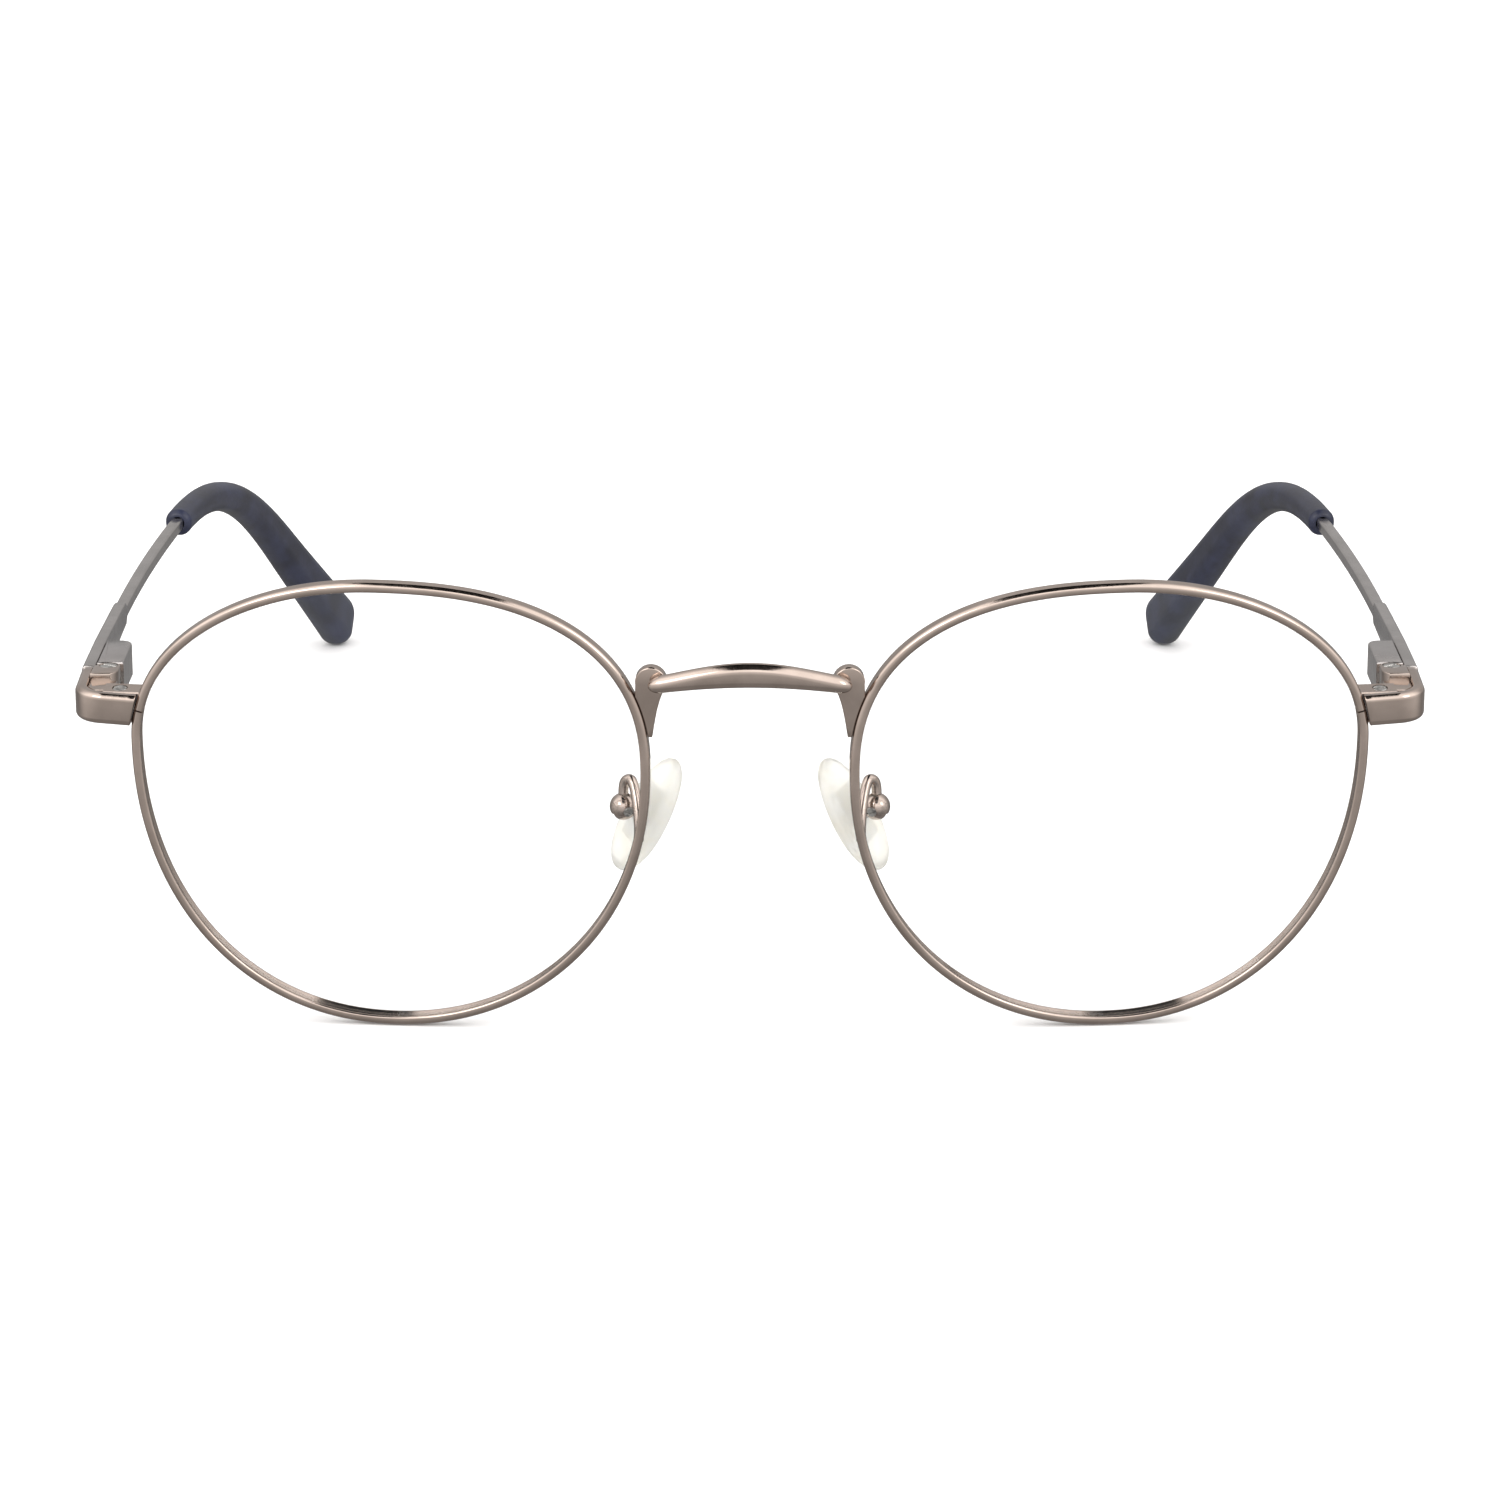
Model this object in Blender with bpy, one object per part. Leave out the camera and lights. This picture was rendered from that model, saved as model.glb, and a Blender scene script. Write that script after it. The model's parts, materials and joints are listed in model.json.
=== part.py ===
"""Round wire eyeglasses with spring hinges, built as separate pieces.

Metres, +Z up. +X runs along the front towards the right-hand end, the front faces -Y and
the temples run to +Y. Every paired piece is modelled once, for the side at +X, in the frame
that carries it. The other side hangs the same meshes from an empty that mirrors X.
The finished pair stands on the rims and the tips, with its origin under its middle.
"""

import math

import bmesh
import bpy
import numpy as np
from mathutils import Matrix, Vector

MM = 0.001

# Boxed lens: width, height, distance between lenses, and how the front is set.
LENS_WIDTH = 49.0 * MM
LENS_HEIGHT = 45.5 * MM
BRIDGE_WIDTH = 20.0 * MM
PANTOSCOPIC_TILT = math.radians(8.0)
FACE_WRAP = math.radians(4.5)
BASE_CURVE_RADIUS = 130.0 * MM
LENS_THICKNESS = 1.0 * MM

# Outline of the lens: where its four extremes lie, and how full each quarter is.
WIDEST_TEMPORAL = 6.2 * MM
WIDEST_NASAL = 4.2 * MM
TOP_OUTWARD = 0.9 * MM
BOTTOM_INWARD = -0.25 * MM
FULLNESS_TOP_TEMPORAL = 2.02
FULLNESS_TOP_NASAL = 2.38
FULLNESS_BOTTOM_NASAL = 2.07
FULLNESS_BOTTOM_TEMPORAL = 2.15
OUTLINE_STEPS = 60

# Eyewire section.
RIM_WALL = 0.92 * MM
RIM_DEPTH = 1.65 * MM
RIM_EDGE = 0.28 * MM
GROOVE_DEPTH = 0.36 * MM
GROOVE_MOUTH = 1.0 * MM

# Gaps: between pieces that are brazed or seated, at the split rim, and where a pin runs.
SEAT_GAP = 0.05 * MM
SPLIT_GAP = 0.16 * MM
BUTT_GAP = 0.12 * MM
RUNNING_GAP = 0.04 * MM

# End piece, closing blocks and closing screw.
LUG_OVERHANG = 6.0 * MM
FRONT_WIDTH = 2 * (LENS_WIDTH + LUG_OVERHANG) + BRIDGE_WIDTH
END_PIECE_RISE = 9.15 * MM
END_PIECE_HEIGHT = 3.2 * MM
END_PIECE_THICKNESS = 1.15 * MM
END_PIECE_BEND = 3.0 * MM
END_PIECE_PROUD = 0.05 * MM
BLOCK_WIDTH = 3.0 * MM
BLOCK_DEPTH = 2.2 * MM
CLOSING_SHANK_RADIUS = 0.45 * MM
CLOSING_HEAD_RADIUS = 0.7 * MM
CLOSING_HEAD_HEIGHT = 0.4 * MM

# Hinge: axis behind the lens centres, fork, pin, and the sprung carriage in its housing.
HINGE_SETBACK = 8.0 * MM
HINGE_LIFT = 0.7 * MM
KNUCKLE_RADIUS = 1.15 * MM
KNUCKLE_HEIGHT = 3.5 * MM
KNUCKLE_REACH = 3.0 * MM
TONGUE_HEIGHT = 1.1 * MM
PIN_RADIUS = 0.4 * MM
PIN_HEAD_RADIUS = 0.85 * MM
PIN_HEAD_HEIGHT = 0.35 * MM
HOUSING_WIDTH = 2.6 * MM
HOUSING_HEIGHT = 3.4 * MM
HOUSING_LENGTH = 8.6 * MM
HOUSING_WALL = 0.35 * MM
HOUSING_END_WALL = 0.6 * MM
HOUSING_CORNER = 1.2 * MM
CARRIAGE_LENGTH = 1.9 * MM
NECK_RADIUS = 0.5 * MM
ROD_RADIUS = 0.33 * MM
STOP_THICKNESS = 0.45 * MM
NUT_THICKNESS = 0.6 * MM
SPRING_WIRE = 0.24 * MM
SPRING_TURNS = 4.5

# Temple bar, its slim wire, and the path both follow back from the hinge.
TEMPLE_LENGTH = 150.0 * MM
TEMPLE_THICKNESS = 1.3 * MM
TEMPLE_HEIGHT = 3.3 * MM
TEMPLE_HEIGHT_AT_SHOULDER = 2.4 * MM
TEMPLE_FULL_LENGTH = 10.5 * MM
SHOULDER_AT = 26.5 * MM
WIRE_DIAMETER = 1.3 * MM
BOW_START = 22.0 * MM
BOW_LENGTH = 106.0 * MM
BOW_ANGLE = math.radians(11.5)
BEND_START = 61.9 * MM
BEND_LENGTH = 61.4 * MM
BEND_DROP = math.radians(32.7)

# Acetate tip.
TIP_START = 66.0 * MM
TIP_MOUTH_THICKNESS = 2.85 * MM
TIP_MOUTH_WIDTH = 2.9 * MM
TIP_END_THICKNESS = 4.1 * MM
TIP_END_WIDTH = 6.4 * MM
TIP_FLARE = 1.6
TIP_SOLID_END = 7.0 * MM
CORE_DIAMETER = 1.1 * MM

# Bridge: arched bar and the two side plates it is brazed to.
BAR_RISE = 15.1 * MM
BAR_ARCH = 1.3 * MM
BAR_SPAN = 19.4 * MM
BAR_CENTRE_HEIGHT = 2.4 * MM
BAR_END_HEIGHT = 1.6 * MM
BAR_DEPTH = 1.7 * MM
BAR_FORWARD = 0.5 * MM
PLATE_LOBE_RISE = 13.75 * MM
PLATE_LOBE_RADIUS = 1.5 * MM
PLATE_LOBE_CLEAR = 0.85 * MM
PLATE_FOOT_RISE = 8.05 * MM
PLATE_FOOT_WIDTH = 0.4 * MM
PLATE_THICKNESS = 1.15 * MM

# Nose pads: where the ball-shaped box sits, how the pad is turned, and its own size.
PAD_BOX_SPACING = 24.6 * MM
PAD_BOX_BEHIND = 4.3 * MM
PAD_BOX_DROP = 1.45 * MM
PAD_BOX_RADIUS = 1.35 * MM
PAD_FRONTAL_ANGLE = math.radians(28.0)
PAD_SPLAY_ANGLE = math.radians(28.0)
PAD_LENGTH = 12.4 * MM
PAD_WIDTH = 6.4 * MM
PAD_THICKNESS = 2.2 * MM
PAD_CLEARANCE = 0.4 * MM
PAD_SCREW_RADIUS = 0.3 * MM
PAD_SCREW_HEAD = 0.5 * MM
STEM_THICKNESS = 0.8 * MM
STEM_HEIGHT = 1.5 * MM
STEM_CLEARANCE = 0.1 * MM
INSERT_LENGTH = 5.8 * MM
INSERT_WIDTH = 2.8 * MM
INSERT_THICKNESS = 0.5 * MM
ARM_RADIUS = 0.5 * MM
ARM_FOOT_DROP = 3.2 * MM
ARM_APEX_RISE = 1.45 * MM

FINISHES = {
    "gunmetal": ((0.50, 0.45, 0.42, 1.0), 0.16, 1.0),
    "gunmetal_hinge": ((0.52, 0.47, 0.44, 1.0), 0.22, 1.0),
    "gunmetal_temple": ((0.46, 0.44, 0.42, 1.0), 0.22, 1.0),
    "steel": ((0.60, 0.59, 0.57, 1.0), 0.28, 1.0),
    "lens_clear": ((0.95, 0.97, 0.97, 0.12), 0.02, 0.0),
    "silicone": ((0.88, 0.88, 0.84, 0.6), 0.25, 0.0),
    "acetate_navy": ((0.012, 0.014, 0.035, 1.0), 0.22, 0.0),
}


# ---------------------------------------------------------------- outline of the lens


def lens_outline(steps=2400):
    """Dense (outward, up) points of the lens edge, anticlockwise from the split in the rim.

    Each quarter is a superellipse between two of the four extremes, so the edge runs square
    to the box at every extreme.
    """
    angle = np.linspace(0.0, 2.0 * math.pi, steps, endpoint=False)
    c, s = np.cos(angle), np.sin(angle)
    top, temporal = s >= 0, c >= 0
    fullness = np.where(
        top,
        np.where(temporal, FULLNESS_TOP_TEMPORAL, FULLNESS_TOP_NASAL),
        np.where(temporal, FULLNESS_BOTTOM_TEMPORAL, FULLNESS_BOTTOM_NASAL),
    )
    apex = np.where(top, TOP_OUTWARD, -BOTTOM_INWARD)
    waist = np.where(temporal, WIDEST_TEMPORAL, WIDEST_NASAL)
    side = np.where(temporal, 0.5, -0.5) * LENS_WIDTH
    end = np.where(top, 0.5, -0.5) * LENS_HEIGHT
    edge = np.stack(
        [
            apex + (side - apex) * np.abs(c) ** (2.0 / fullness),
            waist + (end - waist) * np.abs(s) ** (2.0 / fullness),
        ],
        axis=-1,
    )
    near_split = np.where(edge[:, 0] > 0, np.abs(edge[:, 1] - END_PIECE_RISE), 1.0)
    return np.roll(edge, -int(np.argmin(near_split)), axis=0)


def along_outline(distances):
    """Points and outward normals of the lens edge at distances (0 to 1) round from the split."""
    dense = lens_outline()
    ring = np.vstack([dense, dense[:1]])
    run = np.concatenate([[0.0], np.cumsum(np.linalg.norm(np.diff(ring, axis=0), axis=1))])
    run /= run[-1]

    def at(t):
        t = np.mod(t, 1.0)
        return np.stack([np.interp(t, run, ring[:, k]) for k in (0, 1)], axis=-1)

    distances = np.asarray(distances, float)
    tangent = at(distances + 0.004) - at(distances - 0.004)
    tangent /= np.linalg.norm(tangent, axis=-1, keepdims=True)
    return at(distances), np.stack([tangent[:, 1], -tangent[:, 0]], axis=-1)


def outline_length():
    dense = lens_outline()
    return float(np.linalg.norm(np.diff(np.vstack([dense, dense[:1]]), axis=0), axis=1).sum())


def rim_outer():
    """Dense points of the eyewire's outer face, with the tip of the lens's bevel as datum."""
    points, normals = along_outline(np.linspace(0.0, 1.0, 720, endpoint=False))
    return points + normals * (RIM_WALL - GROOVE_DEPTH)


def rim_outer_at(rise, nasal):
    """How far out the eyewire's outer face is at this height, on the nasal or temporal side."""
    points = rim_outer()
    side = points[(points[:, 0] < 0) == nasal]
    side = side[np.argsort(side[:, 1])]
    return float(np.interp(rise, side[:, 1], side[:, 0]))


def sag(outward, up):
    """How far behind the lens's foremost point its middle surface lies, on the base curve."""
    across = np.asarray(outward) ** 2 + np.asarray(up) ** 2
    edge = (LENS_WIDTH / 2) ** 2
    radius = BASE_CURVE_RADIUS
    return np.sqrt(radius**2 - edge) - np.sqrt(radius**2 - across)


# ---------------------------------------------------------------- mesh helpers


def mesh_from(bm, name):
    """A bmesh written out as mesh data, faces out, round surfaces smooth."""
    bmesh.ops.recalc_face_normals(bm, faces=bm.faces)
    mesh = bpy.data.meshes.new(name)
    bm.to_mesh(mesh)
    bm.free()
    mesh.shade_smooth()
    mesh.set_sharp_from_angle(angle=math.radians(35.0))
    return mesh


def loft(rings):
    """A bmesh skinned over equal rings of points. Open ends are capped."""
    rings = np.asarray(rings, float)
    count, size = rings.shape[:2]
    bm = bmesh.new()
    verts = [[bm.verts.new(p) for p in ring] for ring in rings]
    for a, b in zip(verts, verts[1:]):
        for i in range(size):
            j = (i + 1) % size
            bm.faces.new((a[i], a[j], b[j], b[i]))
    bm.faces.new(verts[0][::-1])
    bm.faces.new(verts[count - 1])
    return bm


def rounded_rectangle(half_width, half_height, left_radius, right_radius, steps=3):
    """Points of a rectangle with rounded corners: one radius on its -x side, one on its +x."""
    points = []
    corners = (
        (1, 1, right_radius, 0),
        (-1, 1, left_radius, 90),
        (-1, -1, left_radius, 180),
        (1, -1, right_radius, 270),
    )
    for sx, sy, radius, start in corners:
        for angle in np.radians(np.linspace(start, start + 90, steps)):
            points.append(
                (
                    sx * (half_width - radius) + radius * math.cos(angle),
                    sy * (half_height - radius) + radius * math.sin(angle),
                )
            )
    return np.array(points)


def extrude_outline(outline, low, high, edge=0.0):
    """A bmesh: an outline in x and y given height from low to high, its rims softened."""
    rings = []
    levels = [(low, 0.0), (high, 0.0)]
    if edge:
        levels = [(low, edge), (low + edge, 0.0), (high - edge, 0.0), (high, edge)]
    outline = np.asarray(outline, float)
    ahead, behind = np.roll(outline, -1, axis=0), np.roll(outline, 1, axis=0)
    tangent = ahead - behind
    tangent /= np.linalg.norm(tangent, axis=1, keepdims=True)
    normal = np.stack([tangent[:, 1], -tangent[:, 0]], axis=1)
    for level, inset in levels:
        ring = outline - normal * inset
        rings.append(np.column_stack([ring, np.full(len(ring), level)]))
    return loft(rings)


def turned(profile, sides=14, axis="Z"):
    """A bmesh turned from (radius, height) points, from one end to the other."""
    angle = np.linspace(0, 2 * math.pi, sides, endpoint=False)
    rings = [
        np.column_stack([r * np.cos(angle), r * np.sin(angle), np.full(sides, h)])
        for r, h in profile
    ]
    bm = loft(rings)
    if axis == "Y":
        bmesh.ops.rotate(bm, verts=bm.verts, matrix=Matrix.Rotation(-math.pi / 2, 3, "X"))
    return bm


def box(low, high, edge=0.0):
    """A bmesh box between two corners, its edges bevelled."""
    low, high = Vector(low), Vector(high)
    bm = bmesh.new()
    bmesh.ops.create_cube(bm, size=1.0)
    bmesh.ops.scale(bm, verts=bm.verts, vec=high - low)
    bmesh.ops.translate(bm, verts=bm.verts, vec=(low + high) / 2)
    if edge:
        bmesh.ops.bevel(
            bm, geom=bm.edges[:], offset=edge, segments=1, affect="EDGES", profile=0.5
        )
    return bm


def drill(radius, low, high, sides=14, axis="Z"):
    """A bmesh cylinder to cut a hole with, from low to high along its axis."""
    return turned([(radius, low), (radius, high)], sides, axis)


def moved(bm, offset):
    bmesh.ops.translate(bm, verts=bm.verts, vec=offset)
    return bm


def combine(name, base, *steps):
    """Mesh data of a bmesh changed by (operation, bmesh) steps with exact Booleans."""
    helpers = []
    body = bpy.data.objects.new(name, mesh_from(base, name))
    bpy.context.scene.collection.objects.link(body)
    helpers.append(body)
    for operation, other in steps:
        tool = bpy.data.objects.new(name + "_tool", mesh_from(other, name + "_tool"))
        bpy.context.scene.collection.objects.link(tool)
        tool.display_type = "WIRE"
        tool.hide_render = True
        helpers.append(tool)
        modifier = body.modifiers.new(operation.lower(), "BOOLEAN")
        modifier.operation = operation
        modifier.object = tool
        modifier.solver = "EXACT"
    bpy.context.view_layer.update()
    graph = bpy.context.evaluated_depsgraph_get()
    mesh = bpy.data.meshes.new_from_object(body.evaluated_get(graph))
    for helper in helpers:
        data = helper.data
        bpy.data.objects.remove(helper, do_unlink=True)
        bpy.data.meshes.remove(data)
    mesh.shade_smooth()
    mesh.set_sharp_from_angle(angle=math.radians(35.0))
    return mesh


# ---------------------------------------------------------------- places that pieces share


def lens_frame():
    """Frame of one lens: x outward along the wrapped front, y to the back, z up the lens."""
    tilt, wrap = PANTOSCOPIC_TILT, FACE_WRAP
    turn = Matrix.Rotation(tilt, 4, "X") @ Matrix.Rotation(wrap, 4, "Z")
    return Matrix.Translation(((LENS_WIDTH + BRIDGE_WIDTH) / 2, 0.0, 0.0)) @ turn


def hinge_point():
    """The hinge axis, halfway up: midway across the housing that lies inside the temple."""
    across = FRONT_WIDTH / 2 - TEMPLE_THICKNESS - SEAT_GAP - HOUSING_WIDTH / 2
    height = end_piece_start().z + HINGE_LIFT
    return Vector((across, HINGE_SETBACK, height))


def end_piece_centre_depth():
    """Depth in the lens frame of the middle of the end piece's front plate."""
    return -RIM_DEPTH / 2 - END_PIECE_PROUD + END_PIECE_THICKNESS / 2


def end_piece_start():
    start = rim_outer_at(END_PIECE_RISE, nasal=False) + SEAT_GAP
    return lens_frame() @ Vector((start, end_piece_centre_depth(), END_PIECE_RISE))


def pad_frame():
    """Frame of one pad: x away from the nose, y along the pad's width, z up its length."""
    turn = Matrix.Rotation(-PAD_FRONTAL_ANGLE, 4, "Y") @ Matrix.Rotation(-PAD_SPLAY_ANGLE, 4, "Z")
    return Matrix.Translation((PAD_BOX_SPACING / 2, PAD_BOX_BEHIND, -PAD_BOX_DROP)) @ turn


def smooth_step(t):
    t = np.clip(t, 0.0, 1.0)
    return t * t * (3.0 - 2.0 * t)


def temple_directions(lengths):
    """Unit directions along the temple: straight, bowed inwards, then bent down."""
    bow = BOW_ANGLE * np.clip((lengths - BOW_START) / BOW_LENGTH, 0.0, 1.0)
    down = BEND_DROP * smooth_step((lengths - BEND_START) / BEND_LENGTH)
    return np.stack(
        [-np.sin(bow) * np.cos(down), np.cos(bow) * np.cos(down), -np.sin(down)], axis=-1
    )


def temple_points(steps=580):
    """Dense (length along, point) of the temple's centreline in the hinge's frame."""
    lengths = np.linspace(0.0, TEMPLE_LENGTH, steps + 1)
    directions = temple_directions(lengths)
    step = lengths[1] - lengths[0]
    middle = (directions[1:] + directions[:-1]) / 2 * step
    start = np.array([TEMPLE_THICKNESS / 2 + SEAT_GAP + HOUSING_WIDTH / 2, BUTT_GAP / 2, 0.0])
    return lengths, start + np.vstack([np.zeros(3), np.cumsum(middle, axis=0)])


def temple_frames(lengths):
    """Points and (sideways, upright) unit vectors at lengths along the temple."""
    dense, points = temple_points()
    at = np.stack([np.interp(lengths, dense, points[:, k]) for k in range(3)], axis=-1)
    forward = temple_directions(lengths)
    sideways = np.cross(forward, np.array([0.0, 0.0, 1.0]))
    sideways /= np.linalg.norm(sideways, axis=-1, keepdims=True)
    upright = np.cross(sideways, forward)
    return at, sideways, upright


# ---------------------------------------------------------------- front: rims and lenses


def make_eyewire():
    """C-shaped rim, open at the closing block, with a V groove that holds the lens."""
    half_split = SPLIT_GAP / 2 / outline_length()
    steps = np.arange(1, OUTLINE_STEPS) / OUTLINE_STEPS
    places = np.concatenate([[half_split], steps, [1.0 - half_split]])
    points, normals = along_outline(places)
    outer, inner, depth = RIM_WALL - GROOVE_DEPTH, -GROOVE_DEPTH, RIM_DEPTH / 2
    soft = RIM_EDGE * 0.6
    section = [
        (inner, -depth + soft),
        (inner, -GROOVE_MOUTH / 2),
        (0.0, 0.0),
        (inner, GROOVE_MOUTH / 2),
        (inner, depth - soft),
        (inner + soft, depth),
        (outer - RIM_EDGE, depth),
        (outer, depth - RIM_EDGE),
        (outer, -depth + RIM_EDGE),
        (outer - RIM_EDGE, -depth),
        (inner + soft, -depth),
    ]
    rings = []
    for (u, v), (nu, nv) in zip(points, normals):
        behind = sag(u, v)
        rings.append([(u + nu * out, behind + y, v + nv * out) for out, y in section])
    return mesh_from(loft(rings), "eyewire")


def make_lens():
    """Thin curved lens with a bevelled edge that seats in the rim's groove."""
    points, normals = along_outline(np.arange(OUTLINE_STEPS) / OUTLINE_STEPS)
    inset = points - normals * (GROOVE_DEPTH + 1.4 * SEAT_GAP)
    bevel = points - normals * SEAT_GAP
    edge_sag = sag(points[:, 0], points[:, 1])
    half = LENS_THICKNESS / 2
    bm = bmesh.new()

    def ring(shape, depth):
        return [bm.verts.new((u, y, v)) for (u, v), y in zip(shape, depth)]

    middle = inset * 0.55
    middle_sag = sag(middle[:, 0], middle[:, 1])
    rows = [
        ring(middle, middle_sag - half),
        ring(inset, edge_sag - half),
        ring(bevel, edge_sag),
        ring(inset, edge_sag + half),
        ring(middle, middle_sag + half),
    ]
    foremost = sag(0.0, 0.0)
    front = bm.verts.new((0.0, foremost - half, 0.0))
    back = bm.verts.new((0.0, foremost + half, 0.0))
    for i in range(OUTLINE_STEPS):
        j = (i + 1) % OUTLINE_STEPS
        for a, b in zip(rows, rows[1:]):
            bm.faces.new((a[i], a[j], b[j], b[i]))
        bm.faces.new((front, rows[0][j], rows[0][i]))
        bm.faces.new((back, rows[-1][i], rows[-1][j]))
    return mesh_from(bm, "lens")


# ---------------------------------------------------------------- front: end pieces


def end_piece_path():
    """Centreline of the end piece from above: out along the front, round, and back."""
    start = end_piece_start()
    centre_radius = END_PIECE_BEND - END_PIECE_THICKNESS / 2
    heading = FACE_WRAP
    centre_x = FRONT_WIDTH / 2 - END_PIECE_BEND
    run = (centre_x + centre_radius * math.sin(heading) - start.x) / math.cos(heading)
    centre_y = start.y + run * math.sin(heading) + centre_radius * math.cos(heading)
    path = [(start.x, start.y, heading), (start.x + 0.5 * run, start.y + 0.5 * run * heading, heading)]
    for angle in np.linspace(heading, math.pi / 2, 7):
        path.append(
            (
                centre_x + centre_radius * math.sin(angle),
                centre_y - centre_radius * math.cos(angle),
                float(angle),
            )
        )
    end = HINGE_SETBACK - BUTT_GAP / 2
    path.append((centre_x + centre_radius, (centre_y + end) / 2, math.pi / 2))
    path.append((centre_x + centre_radius, end, math.pi / 2))
    return path


def make_end_piece():
    """L-shaped lug: its plate follows the rim, its arm runs back to meet the temple."""
    section = rounded_rectangle(
        END_PIECE_THICKNESS / 2, END_PIECE_HEIGHT / 2, 0.15 * MM, 0.42 * MM
    )
    frame = lens_frame()
    path = end_piece_path()
    runs = np.concatenate(
        [[0.0], np.cumsum([math.dist(a[:2], b[:2]) for a, b in zip(path, path[1:])])]
    )
    rise = end_piece_start().z
    rings = []
    for (x, y, angle), run in zip(path, runs):
        turned_by = (angle - FACE_WRAP) / (math.pi / 2 - FACE_WRAP)
        lean = PANTOSCOPIC_TILT * (1.0 - turned_by)
        across = Vector((math.sin(angle), -math.cos(angle), 0.0))
        up = Vector((0.0, -math.sin(lean), math.cos(lean)))
        centre = Vector((x, y, rise + HINGE_LIFT * run / runs[-1]))
        rings.append([centre + across * a + up * b for a, b in section])
    # The plate's inner end is a flat face, slanted as the rim is and just clear of its bulge.
    half = END_PIECE_HEIGHT / 2
    low, middle, high = (
        rim_outer_at(END_PIECE_RISE + rise, nasal=False) for rise in (-half, 0.0, half)
    )
    bulge = middle - (low + high) / 2
    inverse = frame.inverted()
    for i, point in enumerate(rings[0]):
        local = inverse @ point
        share = (local.z - END_PIECE_RISE + half) / (2 * half)
        local.x = low + (high - low) * share + bulge + SEAT_GAP
        rings[0][i] = frame @ local
    return mesh_from(loft(rings), "end_piece")


def block_outline(low, high):
    """Outline, outward by height, of a closing block between two heights, beside the rim."""
    heights = np.linspace(low, high, 4)
    inner = [(rim_outer_at(h, nasal=False) + SEAT_GAP, h) for h in heights]
    outer = rim_outer_at(END_PIECE_RISE, nasal=False) + SEAT_GAP + BLOCK_WIDTH
    return [(outer, low), (outer, high)] + inner[::-1]


def closing_screw_place():
    """Centre of the closing screw in the lens frame."""
    across = rim_outer_at(END_PIECE_RISE, nasal=False) + SEAT_GAP + BLOCK_WIDTH / 2
    return across, block_front() + BLOCK_DEPTH / 2


def block_front():
    return end_piece_centre_depth() + END_PIECE_THICKNESS / 2 + SEAT_GAP


def make_closing_block(low, high, hole, sink):
    """Half of the closing block: drilled upright for the screw, sunk for its head."""
    front = block_front()
    bm = extrude_outline(block_outline(low, high), -front - BLOCK_DEPTH, -front, 0.12 * MM)
    bmesh.ops.rotate(bm, verts=bm.verts, matrix=Matrix.Rotation(math.pi / 2, 3, "X"))
    across, depth = closing_screw_place()
    cuts = [("DIFFERENCE", moved(drill(hole, low - MM, high + MM), (across, depth, 0.0)))]
    if sink:
        head = drill(
            CLOSING_HEAD_RADIUS + SEAT_GAP, high - CLOSING_HEAD_HEIGHT - SEAT_GAP, high + MM
        )
        cuts.append(("DIFFERENCE", moved(head, (across, depth, 0.0))))
    return combine("closing_block", bm, *cuts)


def block_levels():
    """Bottom, lower split face, upper split face and top of the closing block."""
    half = END_PIECE_HEIGHT / 2
    return (
        END_PIECE_RISE - half,
        END_PIECE_RISE - SPLIT_GAP / 2,
        END_PIECE_RISE + SPLIT_GAP / 2,
        END_PIECE_RISE + half,
    )


def make_upper_block():
    levels = block_levels()
    return make_closing_block(levels[2], levels[3], CLOSING_SHANK_RADIUS + RUNNING_GAP, True)


def make_lower_block():
    levels = block_levels()
    return make_closing_block(levels[0], levels[1], CLOSING_SHANK_RADIUS + RUNNING_GAP, False)


def screw_mesh(name, shank, head, head_height, bottom, top, slot):
    """Slotted screw, head up, from bottom to top."""
    neck = top - head_height
    soft = 0.25 * head_height
    profile = [
        (shank * 0.7, bottom),
        (shank, bottom + 0.3 * shank),
        (shank, neck),
        (head, neck),
        (head, top - soft),
        (head - soft, top),
    ]
    cut = box((-head * 1.2, -slot / 2, top - 0.5 * head_height), (head * 1.2, slot / 2, top + MM))
    return combine(name, turned(profile, 14), ("DIFFERENCE", cut))


def make_closing_screw():
    levels = block_levels()
    across, depth = closing_screw_place()
    mesh = screw_mesh(
        "closing_screw",
        CLOSING_SHANK_RADIUS,
        CLOSING_HEAD_RADIUS,
        CLOSING_HEAD_HEIGHT,
        levels[0] + 0.2 * MM,
        levels[3],
        0.3 * MM,
    )
    mesh.transform(Matrix.Translation((across, depth, 0.0)))
    return mesh


# ---------------------------------------------------------------- hinge


def knuckle_gap():
    return TONGUE_HEIGHT / 2 + SEAT_GAP


def make_hinge_knuckle():
    """Fork on the end piece's arm: two leaves round the pin, joined ahead of the tongue."""
    r = KNUCKLE_RADIUS
    arm_face = FRONT_WIDTH / 2 - END_PIECE_THICKNESS - hinge_point().x - SEAT_GAP
    outline = [(arm_face, -KNUCKLE_REACH), (arm_face, -BUTT_GAP)]
    outline += [(r * math.cos(a), r * math.sin(a)) for a in np.radians(np.linspace(20, 180, 9))]
    outline += [(-r, -0.6 * KNUCKLE_REACH), (-0.45 * r, -KNUCKLE_REACH)]
    half = KNUCKLE_HEIGHT / 2
    bm = extrude_outline(outline, -half, half, 0.12 * MM)
    slot_front = -(KNUCKLE_RADIUS + 0.15 * MM)
    slot = box((-4 * MM, slot_front, -knuckle_gap()), (4 * MM, 4 * MM, knuckle_gap()))
    hole = drill(PIN_RADIUS + RUNNING_GAP, -half - MM, half + MM)
    sink = drill(PIN_HEAD_RADIUS + RUNNING_GAP, half - PIN_HEAD_HEIGHT - SEAT_GAP, half + MM)
    return combine(
        "hinge_knuckle", bm, ("DIFFERENCE", slot), ("DIFFERENCE", hole), ("DIFFERENCE", sink)
    )


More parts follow.
